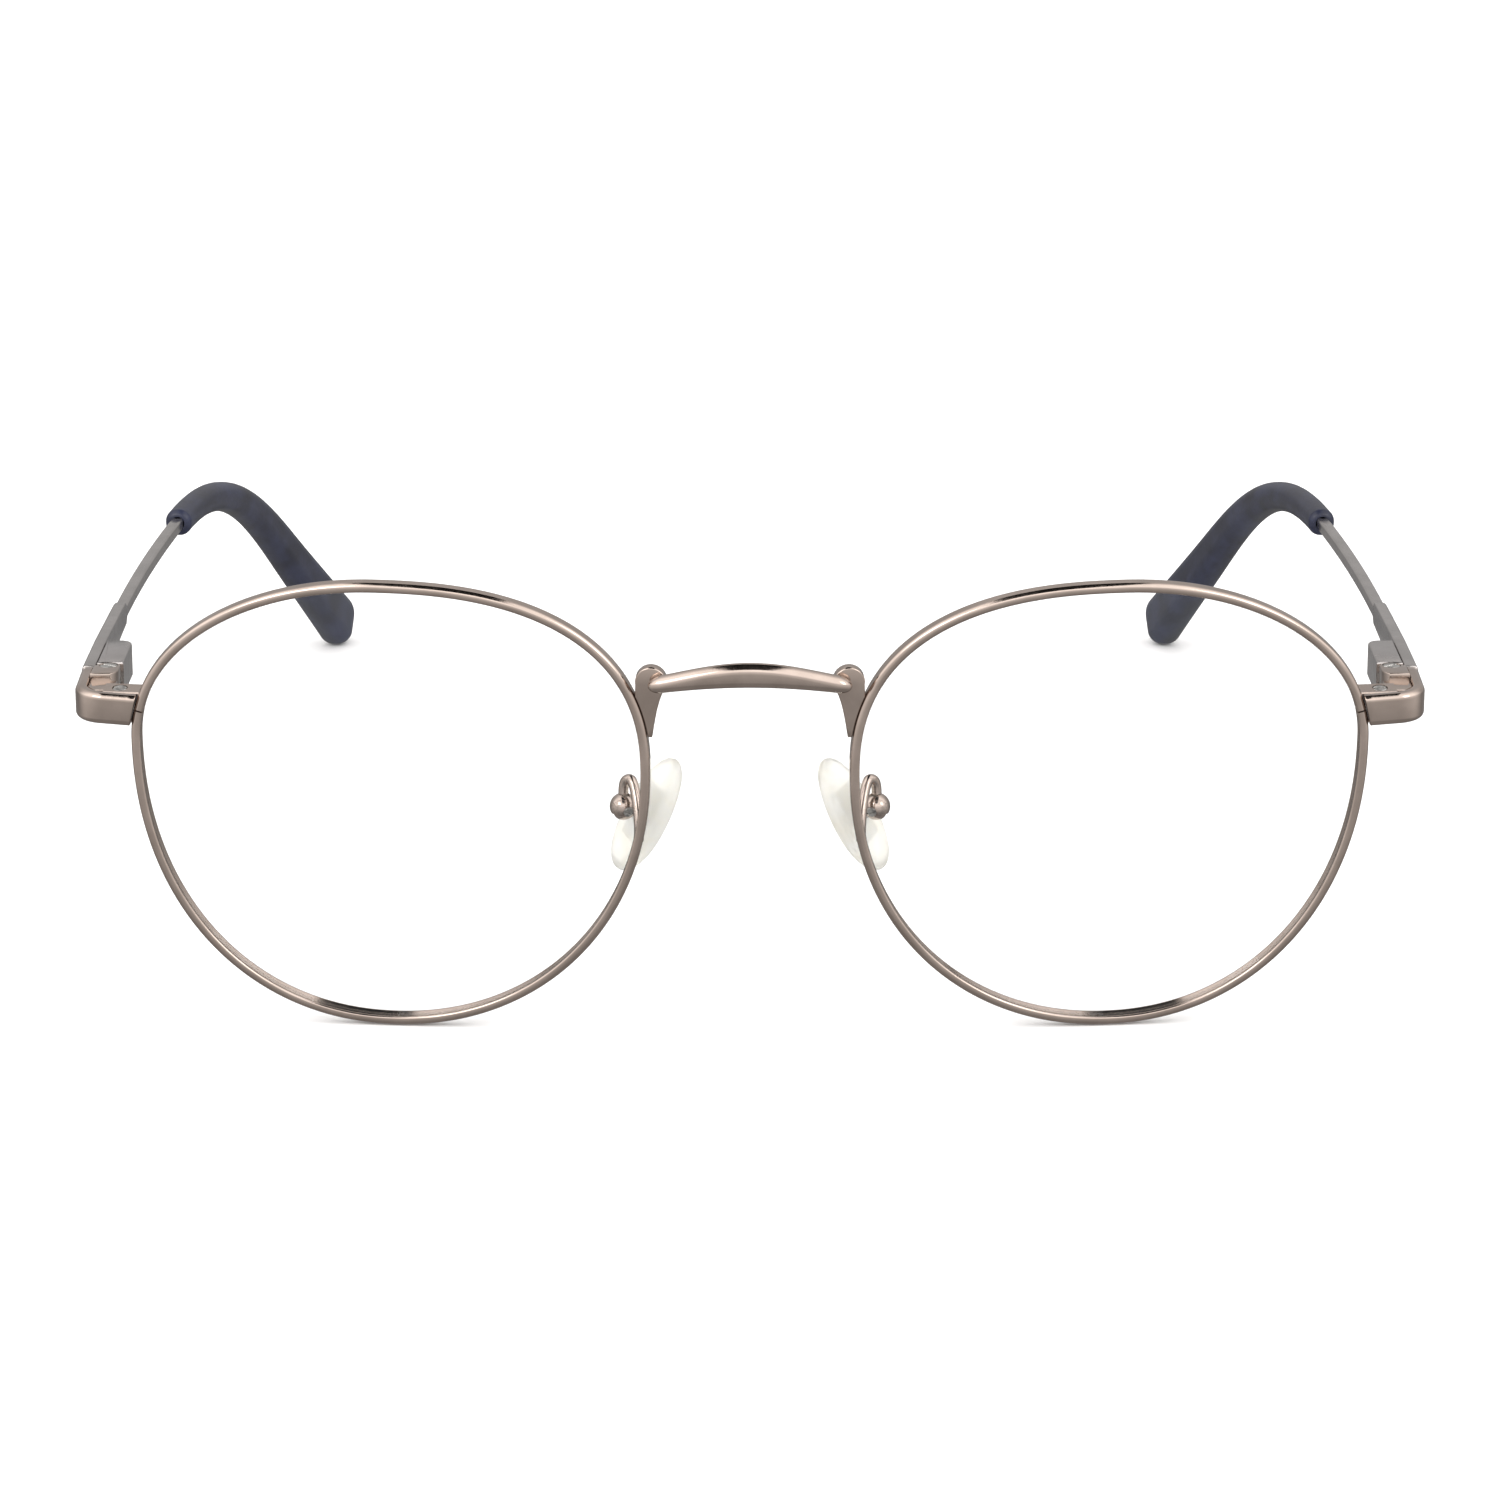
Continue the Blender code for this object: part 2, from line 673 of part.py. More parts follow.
def make_hinge_screw():
    half = KNUCKLE_HEIGHT / 2
    return screw_mesh(
        "hinge_screw", PIN_RADIUS, PIN_HEAD_RADIUS, PIN_HEAD_HEIGHT, -half, half, 0.26 * MM
    )


def housing_front():
    return KNUCKLE_RADIUS + 0.1 * MM


def bore_radius():
    return HOUSING_WIDTH / 2 - HOUSING_WALL


def stop_front():
    """Where the fixed stop starts in the bore, behind the carriage."""
    return housing_front() + 0.15 * MM + CARRIAGE_LENGTH + SEAT_GAP


def nut_front():
    """Front of the nut on the rod, which leaves room for the end wall."""
    rear = housing_front() + HOUSING_LENGTH - HOUSING_END_WALL
    return rear - NUT_THICKNESS - 2 * SEAT_GAP


def make_spring_carriage():
    """Tongue with an eye round the pin, a neck, a sliding block and the spring's rod."""
    block = bore_radius() - SEAT_GAP
    start = housing_front() + 0.15 * MM
    rear = nut_front() + NUT_THICKNESS
    profile = [
        (NECK_RADIUS, 0.55 * MM),
        (NECK_RADIUS, start),
        (block, start),
        (block, start + CARRIAGE_LENGTH),
        (ROD_RADIUS, start + CARRIAGE_LENGTH),
        (ROD_RADIUS, rear),
    ]
    eye = drill(KNUCKLE_RADIUS - 0.05 * MM, -TONGUE_HEIGHT / 2, TONGUE_HEIGHT / 2, 16)
    hole = drill(PIN_RADIUS + RUNNING_GAP, -MM, MM)
    return combine(
        "spring_carriage", turned(profile, 12, "Y"), ("UNION", eye), ("DIFFERENCE", hole)
    )


def washer(name, inner, outer, low, high):
    return combine(
        name,
        drill(outer, low, high, 14, "Y"),
        ("DIFFERENCE", drill(inner, low - MM, high + MM, 12, "Y")),
    )


def make_spring_stop():
    front = stop_front()
    return washer(
        "spring_stop",
        ROD_RADIUS + SEAT_GAP,
        bore_radius() - SEAT_GAP,
        front,
        front + STOP_THICKNESS,
    )


def make_rod_nut():
    front = nut_front()
    outer = bore_radius() - 0.12 * MM
    return washer("rod_nut", ROD_RADIUS + 0.03 * MM, outer, front, front + NUT_THICKNESS)


def make_coil_spring():
    """Coil round the rod, between the fixed stop and the nut."""
    mean = (ROD_RADIUS + bore_radius()) / 2
    low = stop_front() + STOP_THICKNESS + SEAT_GAP + SPRING_WIRE / 2
    high = nut_front() - SEAT_GAP - SPRING_WIRE / 2
    steps = int(SPRING_TURNS * 8)
    angle = np.linspace(0, SPRING_TURNS * 2 * math.pi, steps + 1)
    along = np.linspace(low, high, steps + 1)
    pitch = (high - low) / angle[-1]
    rings = []
    for a, y in zip(angle, along):
        out = np.array([math.cos(a), 0.0, math.sin(a)])
        forward = np.array([-mean * math.sin(a), pitch, mean * math.cos(a)])
        forward /= np.linalg.norm(forward)
        side = np.cross(forward, out)
        centre = np.array([mean * math.cos(a), y, mean * math.sin(a)])
        turn = np.linspace(0, 2 * math.pi, 5, endpoint=False)
        rings.append(
            centre
            + SPRING_WIRE / 2 * (np.outer(np.cos(turn), out) + np.outer(np.sin(turn), side))
        )
    return mesh_from(loft(rings), "coil_spring")


def make_spring_housing():
    """Box on the temple's inner face, bored from its front for the carriage and spring."""
    half, front = HOUSING_WIDTH / 2, housing_front()
    rear = front + HOUSING_LENGTH
    corner = HOUSING_CORNER
    outline = [(-half, front), (half, front), (half, rear)]
    for a in np.radians(np.linspace(90, 180, 5)):
        outline.append((-half + corner + corner * math.cos(a), rear - corner + corner * math.sin(a)))
    bm = extrude_outline(outline, -HOUSING_HEIGHT / 2, HOUSING_HEIGHT / 2, 0.25 * MM)
    bore = drill(bore_radius(), front - MM, rear - HOUSING_END_WALL, 14, "Y")
    return combine("spring_housing", bm, ("DIFFERENCE", bore))


# ---------------------------------------------------------------- temple and tip


def make_temple():
    """Bar that tapers back from the hinge to a shoulder, then a slim wire into the tip."""
    core_end = TEMPLE_LENGTH - TIP_SOLID_END
    bar = np.array([0.0, 0.25, 0.5, 1.0]) * TEMPLE_FULL_LENGTH
    taper = np.linspace(TEMPLE_FULL_LENGTH, SHOULDER_AT, 4)[1:]
    wire = np.linspace(SHOULDER_AT + 1.2 * MM, TIP_START - 0.5 * MM, 6)
    core = np.linspace(TIP_START + 0.8 * MM, core_end, 13)
    lengths = np.concatenate([bar, taper, wire, core])
    at, sideways, upright = temple_frames(lengths)
    rings = []
    for s, centre, side, up in zip(lengths, at, sideways, upright):
        if s <= SHOULDER_AT + 1e-9:
            share = np.clip((s - TEMPLE_FULL_LENGTH) / (SHOULDER_AT - TEMPLE_FULL_LENGTH), 0, 1)
            height = TEMPLE_HEIGHT + (TEMPLE_HEIGHT_AT_SHOULDER - TEMPLE_HEIGHT) * share
            shape = rounded_rectangle(TEMPLE_THICKNESS / 2, height / 2, 0.2 * MM, 0.42 * MM, 2)
        else:
            size = WIRE_DIAMETER if s < TIP_START else CORE_DIAMETER
            round_off = 0.29 * size
            shape = rounded_rectangle(size / 2, size / 2, round_off, round_off, 2)
        rings.append([centre + side * a + up * b for a, b in shape])
    return mesh_from(loft(rings), "temple")


def tip_size(s):
    """Thickness and width of the tip at a length along the temple."""
    share = ((s - TIP_START) / (TEMPLE_LENGTH - TIP_START)) ** TIP_FLARE
    thickness = TIP_MOUTH_THICKNESS + (TIP_END_THICKNESS - TIP_MOUTH_THICKNESS) * share
    width = TIP_MOUTH_WIDTH + (TIP_END_WIDTH - TIP_MOUTH_WIDTH) * share
    return thickness, width


def make_temple_tip():
    """Acetate sleeve over the wire: bored from its mouth, widening to a rounded end."""
    bore = np.linspace(TEMPLE_LENGTH - TIP_SOLID_END + 2 * SEAT_GAP, TIP_START, 13)
    end_run = TIP_END_WIDTH / 2
    body = np.linspace(TIP_START + 0.35 * MM, TEMPLE_LENGTH - end_run, 14)
    cap = TEMPLE_LENGTH - end_run + end_run * np.sin(np.radians([30.0, 55.0, 75.0]))
    shrink = np.cos(np.radians([30.0, 55.0, 75.0]))
    rings = []

    def add(lengths, sizes):
        at, sideways, upright = temple_frames(np.asarray(lengths, float))
        for centre, side, up, (thickness, width, round_off) in zip(at, sideways, upright, sizes):
            shape = rounded_rectangle(thickness / 2, width / 2, round_off, round_off, 3)
            rings.append([centre + side * a + up * b for a, b in shape])

    hole = WIRE_DIAMETER + 3 * SEAT_GAP
    add(bore, [(hole, hole, 0.28 * hole)] * len(bore))
    mouth = (TIP_MOUTH_THICKNESS - 0.5 * MM, TIP_MOUTH_WIDTH - 0.5 * MM)
    add([TIP_START], [(*mouth, 0.45 * mouth[0])])
    add(body, [(*tip_size(s), 0.44 * tip_size(s)[0]) for s in body])
    sizes = []
    for s, k in zip(cap, shrink):
        thickness, width = tip_size(s)
        thickness, width = thickness * k**0.6, width * k
        sizes.append((thickness, width, 0.44 * min(thickness, width)))
    add(cap, sizes)
    return mesh_from(loft(rings), "temple_tip")


# ---------------------------------------------------------------- bridge


def plate_front():
    """Depth in the lens frame of the side plates' front face, which the bar rests on."""
    return RIM_DEPTH / 2 - PLATE_THICKNESS


def make_bridge_plate():
    """Flat plate along the rim's nasal side: a lobe above, tapering to a foot below."""
    lobe_out = rim_outer_at(PLATE_LOBE_RISE, nasal=True) - PLATE_LOBE_CLEAR - PLATE_LOBE_RADIUS
    foot_out = rim_outer_at(PLATE_FOOT_RISE, nasal=True) - SEAT_GAP
    contact = PLATE_LOBE_RISE - PLATE_LOBE_RADIUS
    outline = [(foot_out - PLATE_FOOT_WIDTH, PLATE_FOOT_RISE)]
    outline += [(foot_out, PLATE_FOOT_RISE)]
    for rise in np.linspace(PLATE_FOOT_RISE, contact, 6)[1:]:
        outline.append((rim_outer_at(rise, nasal=True) - SEAT_GAP, rise))
    for a in np.radians(np.linspace(-10, 205, 11)):
        outline.append(
            (
                lobe_out + PLATE_LOBE_RADIUS * math.cos(a),
                PLATE_LOBE_RISE + PLATE_LOBE_RADIUS * math.sin(a),
            )
        )
    outline.append((foot_out - 0.62 * PLATE_LOBE_RADIUS, contact - 0.4 * MM))
    back = -plate_front() - PLATE_THICKNESS
    bm = extrude_outline(outline, back, -plate_front(), 0.1 * MM)
    bmesh.ops.rotate(bm, verts=bm.verts, matrix=Matrix.Rotation(math.pi / 2, 3, "X"))
    return mesh_from(bm, "bridge_plate")


def make_bridge_bar():
    """Arched bar from plate to plate, thickest in the middle, its ends rounded off."""
    half = BAR_SPAN / 2
    inward = LENS_WIDTH / 2 + BRIDGE_WIDTH / 2 - half
    seat = lens_frame() @ Vector((-inward, plate_front() - SEAT_GAP, BAR_RISE - BAR_ARCH))
    ends = np.array([0.0, 0.02, 0.07, 0.15])
    round_off = np.sqrt(np.clip(1 - (1 - ends / 0.07) ** 2, 0.06, 1.0))
    round_off[2:] = 1.0
    share = np.concatenate([ends, np.linspace(0.25, 0.75, 7), 1.0 - ends[::-1]])
    taper = np.concatenate([round_off, np.ones(7), round_off[::-1]])
    tilt = PANTOSCOPIC_TILT
    up = np.array([0.0, -math.sin(tilt), math.cos(tilt)])
    back = np.array([0.0, math.cos(tilt), math.sin(tilt)])
    rings = []
    for k, scale in zip(share, taper):
        middle = math.sin(math.pi * k) ** 1.5
        lift = math.sin(math.pi * np.clip(k, 0, 1)) ** 1.2 * BAR_ARCH
        height = BAR_END_HEIGHT + (BAR_CENTRE_HEIGHT - BAR_END_HEIGHT) * middle
        centre = np.array([(k - 0.5) * BAR_SPAN, seat.y, seat.z])
        centre = centre + up * lift - back * (BAR_DEPTH / 2 + BAR_FORWARD * middle)
        limit = 0.46 * min(height, BAR_DEPTH) * scale
        shape = rounded_rectangle(height / 2 * scale, BAR_DEPTH / 2 * scale, limit, limit)
        rings.append([centre + up * a + back * b for a, b in shape])
    return mesh_from(loft(rings), "bridge_bar")


# ---------------------------------------------------------------- nose pads


def pad_back():
    """Distance from the pad box's centre to the back face of the pad."""
    return PAD_BOX_RADIUS + PAD_CLEARANCE


def make_pad_arm():
    """Bent wire: from the rim's rear face, back and up, over, and down to the pad box."""
    frame = lens_frame()
    middle = (RIM_WALL - GROOVE_DEPTH) - RIM_WALL / 2
    along = rim_outer_at(-ARM_FOOT_DROP, nasal=True) + (RIM_WALL / 2)
    foot_depth = sag(along + middle, -ARM_FOOT_DROP) + RIM_DEPTH / 2 + SEAT_GAP
    foot = frame @ Vector((along, float(foot_depth), -ARM_FOOT_DROP))
    centre = pad_frame().translation
    end = centre + Vector((0.0, 0.0, PAD_BOX_RADIUS * 0.93 + SEAT_GAP))
    apex = Vector((0.45 * foot.x + 0.55 * end.x, end.y - 0.6 * MM, ARM_APEX_RISE))
    back = frame.to_3x3() @ Vector((0.0, 1.0, 0.0))
    knots = [
        (foot, foot - back * MM, foot + back * 2.2 * MM),
        (apex, apex - Vector((0.55, 0.5, -0.05)) * MM, apex + Vector((0.5, 0.4, 0.0)) * MM),
        (end, end + Vector((0.0, 0.0, 1.1)) * MM, end - Vector((0.0, 0.0, 1.0)) * MM),
    ]
    curve = bpy.data.curves.new("pad_arm", "CURVE")
    curve.dimensions = "3D"
    curve.bevel_depth = ARM_RADIUS
    curve.bevel_resolution = 2
    curve.resolution_u = 8
    curve.use_fill_caps = True
    spline = curve.splines.new("BEZIER")
    spline.bezier_points.add(len(knots) - 1)
    for point, (co, left, right) in zip(spline.bezier_points, knots):
        point.handle_left_type = point.handle_right_type = "FREE"
        point.co, point.handle_left, point.handle_right = co, left, right
    guide = bpy.data.objects.new("pad_arm_guide", curve)
    bpy.context.scene.collection.objects.link(guide)
    bpy.context.view_layer.update()
    graph = bpy.context.evaluated_depsgraph_get()
    mesh = bpy.data.meshes.new_from_object(guide.evaluated_get(graph))
    bpy.data.objects.remove(guide, do_unlink=True)
    bpy.data.curves.remove(curve)
    bm = bmesh.new()
    bm.from_mesh(mesh)
    bmesh.ops.remove_doubles(bm, verts=bm.verts, dist=0.002 * MM)
    bpy.data.meshes.remove(mesh)
    return mesh_from(bm, "pad_arm")


def make_pad_box():
    """Ball slit towards the pad for the insert's stem, and drilled for the pad screw."""
    bm = bmesh.new()
    bmesh.ops.create_uvsphere(bm, u_segments=16, v_segments=10, radius=PAD_BOX_RADIUS)
    slit = STEM_THICKNESS / 2 + SEAT_GAP
    cut = box(
        (-3 * MM, -slit, -3 * MM), (STEM_HEIGHT / 2 + STEM_CLEARANCE, slit, 3 * MM)
    )
    hole = drill(PAD_SCREW_RADIUS + RUNNING_GAP, -2 * MM, 2 * MM, 12, "Y")
    sink = drill(PAD_SCREW_HEAD + RUNNING_GAP, -2 * MM, -PAD_BOX_RADIUS + 0.35 * MM, 12, "Y")
    return combine(
        "pad_box", bm, ("DIFFERENCE", cut), ("DIFFERENCE", hole), ("DIFFERENCE", sink)
    )


def make_pad_screw():
    """Cross screw of the pad, its head towards the front."""
    r, head = PAD_SCREW_RADIUS, PAD_SCREW_HEAD
    front = -PAD_BOX_RADIUS - 0.02 * MM
    seat = -PAD_BOX_RADIUS + 0.3 * MM
    profile = [(0.7 * head, front), (head, front + 0.1 * MM), (head, seat), (r, seat)]
    profile += [(r, PAD_BOX_RADIUS - 0.1 * MM)]
    cut = box((-head * 1.2, front - MM, -0.09 * MM), (head * 1.2, front + 0.12 * MM, 0.09 * MM))
    return combine("pad_screw", turned(profile, 12, "Y"), ("DIFFERENCE", cut))


def insert_solids(grow):
    """The insert's plate and neck as bmeshes, grown by a clearance."""
    middle = -(pad_back() + PAD_THICKNESS / 2)
    half = (INSERT_THICKNESS / 2 + grow, INSERT_WIDTH / 2 + grow, INSERT_LENGTH / 2 + grow)
    plate = box((middle - half[0], -half[1], -half[2]), (middle + half[0], half[1], half[2]))
    stem = STEM_THICKNESS / 2 + grow, STEM_HEIGHT / 2 + grow
    neck = box((middle, -stem[0], -stem[1]), (0.0, stem[0], stem[1]))
    return plate, neck


def make_pad_insert():
    """Metal plate inside the pad with a stem that swings on the pad screw."""
    plate, neck = insert_solids(0.0)
    eye = drill(STEM_HEIGHT / 2, -STEM_THICKNESS / 2, STEM_THICKNESS / 2, 14, "Y")
    hole = drill(PAD_SCREW_RADIUS + RUNNING_GAP, -2 * MM, 2 * MM, 12, "Y")
    return combine(
        "pad_insert", plate, ("UNION", neck), ("UNION", eye), ("DIFFERENCE", hole)
    )


def pad_outline(angle, length, width):
    """Half sizes of the pad's outline at an angle: a rounded D, fuller at its lower end."""
    low = 0.5 * width * (1.0 - 0.10 * math.sin(angle))
    return low * math.cos(angle), 0.5 * length * math.sin(angle)


def make_nose_pad():
    """Silicone pad moulded round the insert, its bearing face slightly domed."""
    back, front = -pad_back(), -pad_back() - PAD_THICKNESS
    levels = [
        (back, 0.80),
        (back - 0.28 * PAD_THICKNESS, 0.96),
        (back - 0.6 * PAD_THICKNESS, 1.0),
        (back - 0.85 * PAD_THICKNESS, 0.9),
        (front, 0.62),
    ]
    rings = []
    for x, scale in levels:
        ring = []
        for a in np.linspace(0, 2 * math.pi, 20, endpoint=False):
            y, z = pad_outline(a, PAD_LENGTH * (0.35 + 0.65 * scale), PAD_WIDTH * scale)
            ring.append((x, y, z))
        rings.append(ring)
    plate, neck = insert_solids(SEAT_GAP)
    return combine("nose_pad", loft(rings), ("DIFFERENCE", plate), ("DIFFERENCE", neck))


# ---------------------------------------------------------------- assembly

# Each piece of one side: its name, the frame that carries it, its maker and its finish.
SIDE_PIECES = (
    ("eyewire", "lens_seat", make_eyewire, "gunmetal"),
    ("lens", "lens_seat", make_lens, "lens_clear"),
    ("end_piece", "side", make_end_piece, "gunmetal"),
    ("closing_block_upper", "lens_seat", make_upper_block, "gunmetal"),
    ("closing_block_lower", "lens_seat", make_lower_block, "gunmetal"),
    ("closing_screw", "lens_seat", make_closing_screw, "steel"),
    ("bridge_plate", "lens_seat", make_bridge_plate, "gunmetal"),
    ("pad_arm", "side", make_pad_arm, "gunmetal_hinge"),
    ("pad_box", "pad_pivot", make_pad_box, "gunmetal_hinge"),
    ("pad_screw", "pad_pivot", make_pad_screw, "steel"),
    ("pad_insert", "pad_pivot", make_pad_insert, "steel"),
    ("nose_pad", "pad_pivot", make_nose_pad, "silicone"),
    ("hinge_knuckle", "hinge", make_hinge_knuckle, "gunmetal_hinge"),
    ("hinge_screw", "hinge", make_hinge_screw, "steel"),
    ("spring_carriage", "hinge", make_spring_carriage, "steel"),
    ("spring_stop", "hinge", make_spring_stop, "steel"),
    ("rod_nut", "hinge", make_rod_nut, "steel"),
    ("coil_spring", "hinge", make_coil_spring, "steel"),
    ("spring_housing", "hinge", make_spring_housing, "gunmetal_hinge"),
    ("temple", "hinge", make_temple, "gunmetal_temple"),
    ("temple_tip", "hinge", make_temple_tip, "acetate_navy"),
)


def clear_scene():
    for obj in list(bpy.data.objects):
        bpy.data.objects.remove(obj, do_unlink=True)


def material_for(name, finish):
    """A Principled BSDF material of the piece's own."""
    color, roughness, metallic = FINISHES[finish]
    material = bpy.data.materials.new(name)
    material.use_nodes = True
    shader = material.node_tree.nodes["Principled BSDF"]
    shader.inputs["Base Color"].default_value = color
    shader.inputs["Roughness"].default_value = roughness
    shader.inputs["Metallic"].default_value = metallic
    shader.inputs["Alpha"].default_value = color[3]
    material.diffuse_color = color
    return material


def add_empty(name, parent, matrix):
    empty = bpy.data.objects.new(name, None)
    bpy.context.scene.collection.objects.link(empty)
    empty.empty_display_size = 4 * MM
    empty.parent = parent
    empty.matrix_basis = matrix
    return empty


def add_piece(name, mesh, parent, finish):
    obj = bpy.data.objects.new(name, mesh)
    bpy.context.scene.collection.objects.link(obj)
    obj.parent = parent
    if not mesh.materials:
        mesh.materials.append(None)
    obj.material_slots[0].link = "OBJECT"
    obj.material_slots[0].material = material_for(name, finish)
    return obj


def side_frames(side, root):
    """Empties of one side: the side itself, its lens seat, its hinge and its pad's pivot."""
    mirror = Matrix.Diagonal((1.0 if side == "right" else -1.0, 1.0, 1.0, 1.0))
    frames = {"side": add_empty(side + "_side", root, mirror)}
    places = {
        "lens_seat": lens_frame(),
        "hinge": Matrix.Translation(hinge_point()),
        "pad_pivot": pad_frame(),
    }
    for name, matrix in places.items():
        frames[name] = add_empty(f"{side}_{name}", frames["side"], matrix)
    return frames


def world_corners(pieces):
    corners = [p.matrix_world @ v.co for p in pieces for v in p.data.vertices]
    return np.array([tuple(corner) for corner in corners])


def stand_on_origin(root, pieces):
    """Lean the whole until rims and tips stand level, then put the origin under its box."""
    rims = [piece for piece in pieces if "eyewire" in piece.name]
    tips = [piece for piece in pieces if "temple_tip" in piece.name]
    lean = 0.0
    for _ in range(6):
        bpy.context.view_layer.update()
        rim, tip = (min(world_corners(group), key=lambda c: c[2]) for group in (rims, tips))
        lean -= math.atan2(tip[2] - rim[2], tip[1] - rim[1])
        root.matrix_basis = Matrix.Rotation(lean, 4, "X")
    bpy.context.view_layer.update()
    corners = world_corners(pieces)
    low, high = corners.min(axis=0), corners.max(axis=0)
    shift = Vector((-(low[0] + high[0]) / 2, -(low[1] + high[1]) / 2, -low[2]))
    root.matrix_basis = Matrix.Translation(shift) @ root.matrix_basis
    bpy.context.view_layer.update()


def main():
    clear_scene()
    root = add_empty("eyeglasses", None, Matrix.Identity(4))
    meshes = {name: maker() for name, _, maker, _ in SIDE_PIECES}
    pieces = [add_piece("bridge_bar", make_bridge_bar(), root, "gunmetal")]
    for side in ("left", "right"):
        frames = side_frames(side, root)
        for name, carried_by, _, finish in SIDE_PIECES:
            piece = add_piece(f"{side}_{name}", meshes[name], frames[carried_by], finish)
            pieces.append(piece)
    stand_on_origin(root, pieces)


main()
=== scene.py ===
"""Round wire eyeglasses with sprung hinges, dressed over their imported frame.

Every piece is worked out in the wearer-side frame of the glasses: x outward from the nose,
y to the back, z up, in metres, with its origin between the lens centres. The side at +X is
the pattern, and the other side mirrors it.
"""

from __future__ import annotations

import json
import logging
import math
from dataclasses import dataclass, field
from enum import Enum
from typing import Callable, Sequence

import bpy
import numpy as np
from mathutils import Matrix


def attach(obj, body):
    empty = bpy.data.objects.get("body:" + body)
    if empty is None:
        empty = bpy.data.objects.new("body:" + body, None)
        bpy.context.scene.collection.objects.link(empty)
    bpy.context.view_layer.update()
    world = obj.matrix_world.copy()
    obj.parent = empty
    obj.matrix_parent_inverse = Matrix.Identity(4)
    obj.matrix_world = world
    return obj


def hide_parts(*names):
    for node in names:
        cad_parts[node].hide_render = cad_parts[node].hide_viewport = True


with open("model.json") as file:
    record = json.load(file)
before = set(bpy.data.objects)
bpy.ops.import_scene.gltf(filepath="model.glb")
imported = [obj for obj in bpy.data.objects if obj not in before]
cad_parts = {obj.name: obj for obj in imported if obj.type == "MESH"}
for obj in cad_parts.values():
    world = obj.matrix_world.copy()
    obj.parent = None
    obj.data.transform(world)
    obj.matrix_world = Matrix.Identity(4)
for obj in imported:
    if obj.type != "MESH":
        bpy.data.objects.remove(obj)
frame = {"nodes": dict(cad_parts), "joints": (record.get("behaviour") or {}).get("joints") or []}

LOG = logging.getLogger("eyeglasses")
MM = 0.001
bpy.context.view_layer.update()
Array = np.ndarray
UPRIGHT = np.eye(3)
ORIGIN = np.zeros(3)
ROUNDING = np.radians([0.0, 30.0, 60.0, 90.0])
UV_PER_METRE = 100.0


class Side(Enum):
    """Which half of the glasses a piece belongs to, as the sign of its x."""

    LEFT = -1
    RIGHT = 1

    def node(self, name: str) -> str:
        """The name of this side's CAD node or body."""
        return f"{self.name.lower()}_{name}"


class Ends(Enum):
    """How the two ends of a lofted surface are closed."""

    FAN = "fan"
    FLAT = "flat"


# ---------------------------------------------------------------- shapes as arrays


@dataclass
class Shape:
    """A closed surface: its points, its faces, and the pattern place of every face corner."""

    points: Array
    faces: list[list[int]]
    corners: Array

    def moved(self, turn: Array, offset: Array = ORIGIN) -> Shape:
        """The same shape with p -> turn p + offset.

        Args:
            turn: 3 by 3 matrix, which may mirror.
            offset: Shift in metres.

        Returns:
            The new shape, its faces still outward.
        """
        points = self.points @ np.asarray(turn).T + np.asarray(offset)
        if np.linalg.det(turn) > 0:
            return Shape(points, self.faces, self.corners)
        faces = [face[::-1] for face in self.faces]
        sizes = np.array([len(face) for face in self.faces])
        starts = np.concatenate([[0], np.cumsum(sizes)[:-1]])
        place = np.arange(len(self.corners)) - np.repeat(starts, sizes)
        back = np.repeat(starts + sizes - 1, sizes) - place
        return Shape(points, faces, self.corners[back])


def run_length(line: Array) -> Array:
    """Distance along a line of points from its first to each of them."""
    return np.concatenate([[0.0], np.cumsum(np.linalg.norm(np.diff(line, axis=0), axis=1))])


def flat_ring(outline: Array, height: float) -> Array:
    """An outline of x and y as points at one height."""
    return np.column_stack([outline, np.full(len(outline), height)])


def face_corners(places: Sequence[tuple[Array, Array]]) -> Array:
    """(u, v) rows, face by face, from one pair of arrays for each corner of the faces."""
    return np.array(places).transpose(2, 0, 1).reshape(-1, 2)


def grid_shape(rings: Array, ends: Ends = Ends.FAN) -> Shape:
    """Skin over equal rings of points: row i, column j is point (i, j) of the surface.

    Args:
        rings: Array of rows, columns and xyz. Columns run round, anticlockwise as seen from
            the last row looking back at the first.
        ends: A fan closes an end row round its middle, and flat closes it with one face.

    Returns:
        The closed shape, with pattern places in metres: length along, then length round.
    """
    rows, columns = rings.shape[:2]
    i, j = (n.ravel() for n in np.meshgrid(np.arange(rows - 1), np.arange(columns), indexing="ij"))
    low, over = i * columns, (j + 1) % columns
    high = low + columns
    faces = np.stack([low + j, low + over, high + over, high + j], axis=1).tolist()
    points, middle = rings.reshape(-1, 3), rings.mean(axis=1)
    along = run_length(middle)
    girth = np.linalg.norm(np.roll(rings, -1, axis=1) - rings, axis=2).mean(axis=0)
    around = np.concatenate([[0.0], np.cumsum(girth)])
    u, v = (along[i], along[i + 1]), (around[j], around[j + 1])
    corners = face_corners([(u[0], v[0]), (u[0], v[1]), (u[1], v[1]), (u[1], v[0])])
    column, foot = np.arange(columns), (rows - 1) * columns
    zero, full = np.zeros(columns), np.full(columns, along[-1])
    near, far = around[:-1], around[1:]
    if ends is Ends.FLAT:
        faces += [column[::-1].tolist(), (foot + column).tolist()]
        lids = [np.stack([zero, near[::-1]], axis=1), np.stack([full, near], axis=1)]
        return Shape(points, faces, np.vstack([corners, *lids]))
    follow, first = (column + 1) % columns, np.full(columns, len(points))
    faces += np.stack([first, follow, column], axis=1).tolist()
    faces += np.stack([first + 1, foot + column, foot + follow], axis=1).tolist()
    points = np.vstack([points, middle[:1], middle[-1:]])
    lid = face_corners([(zero, zero), (zero, far), (zero, near)])
    tail = face_corners([(full, zero), (full, near), (full, far)])
    return Shape(points, faces, np.vstack([corners, lid, tail]))


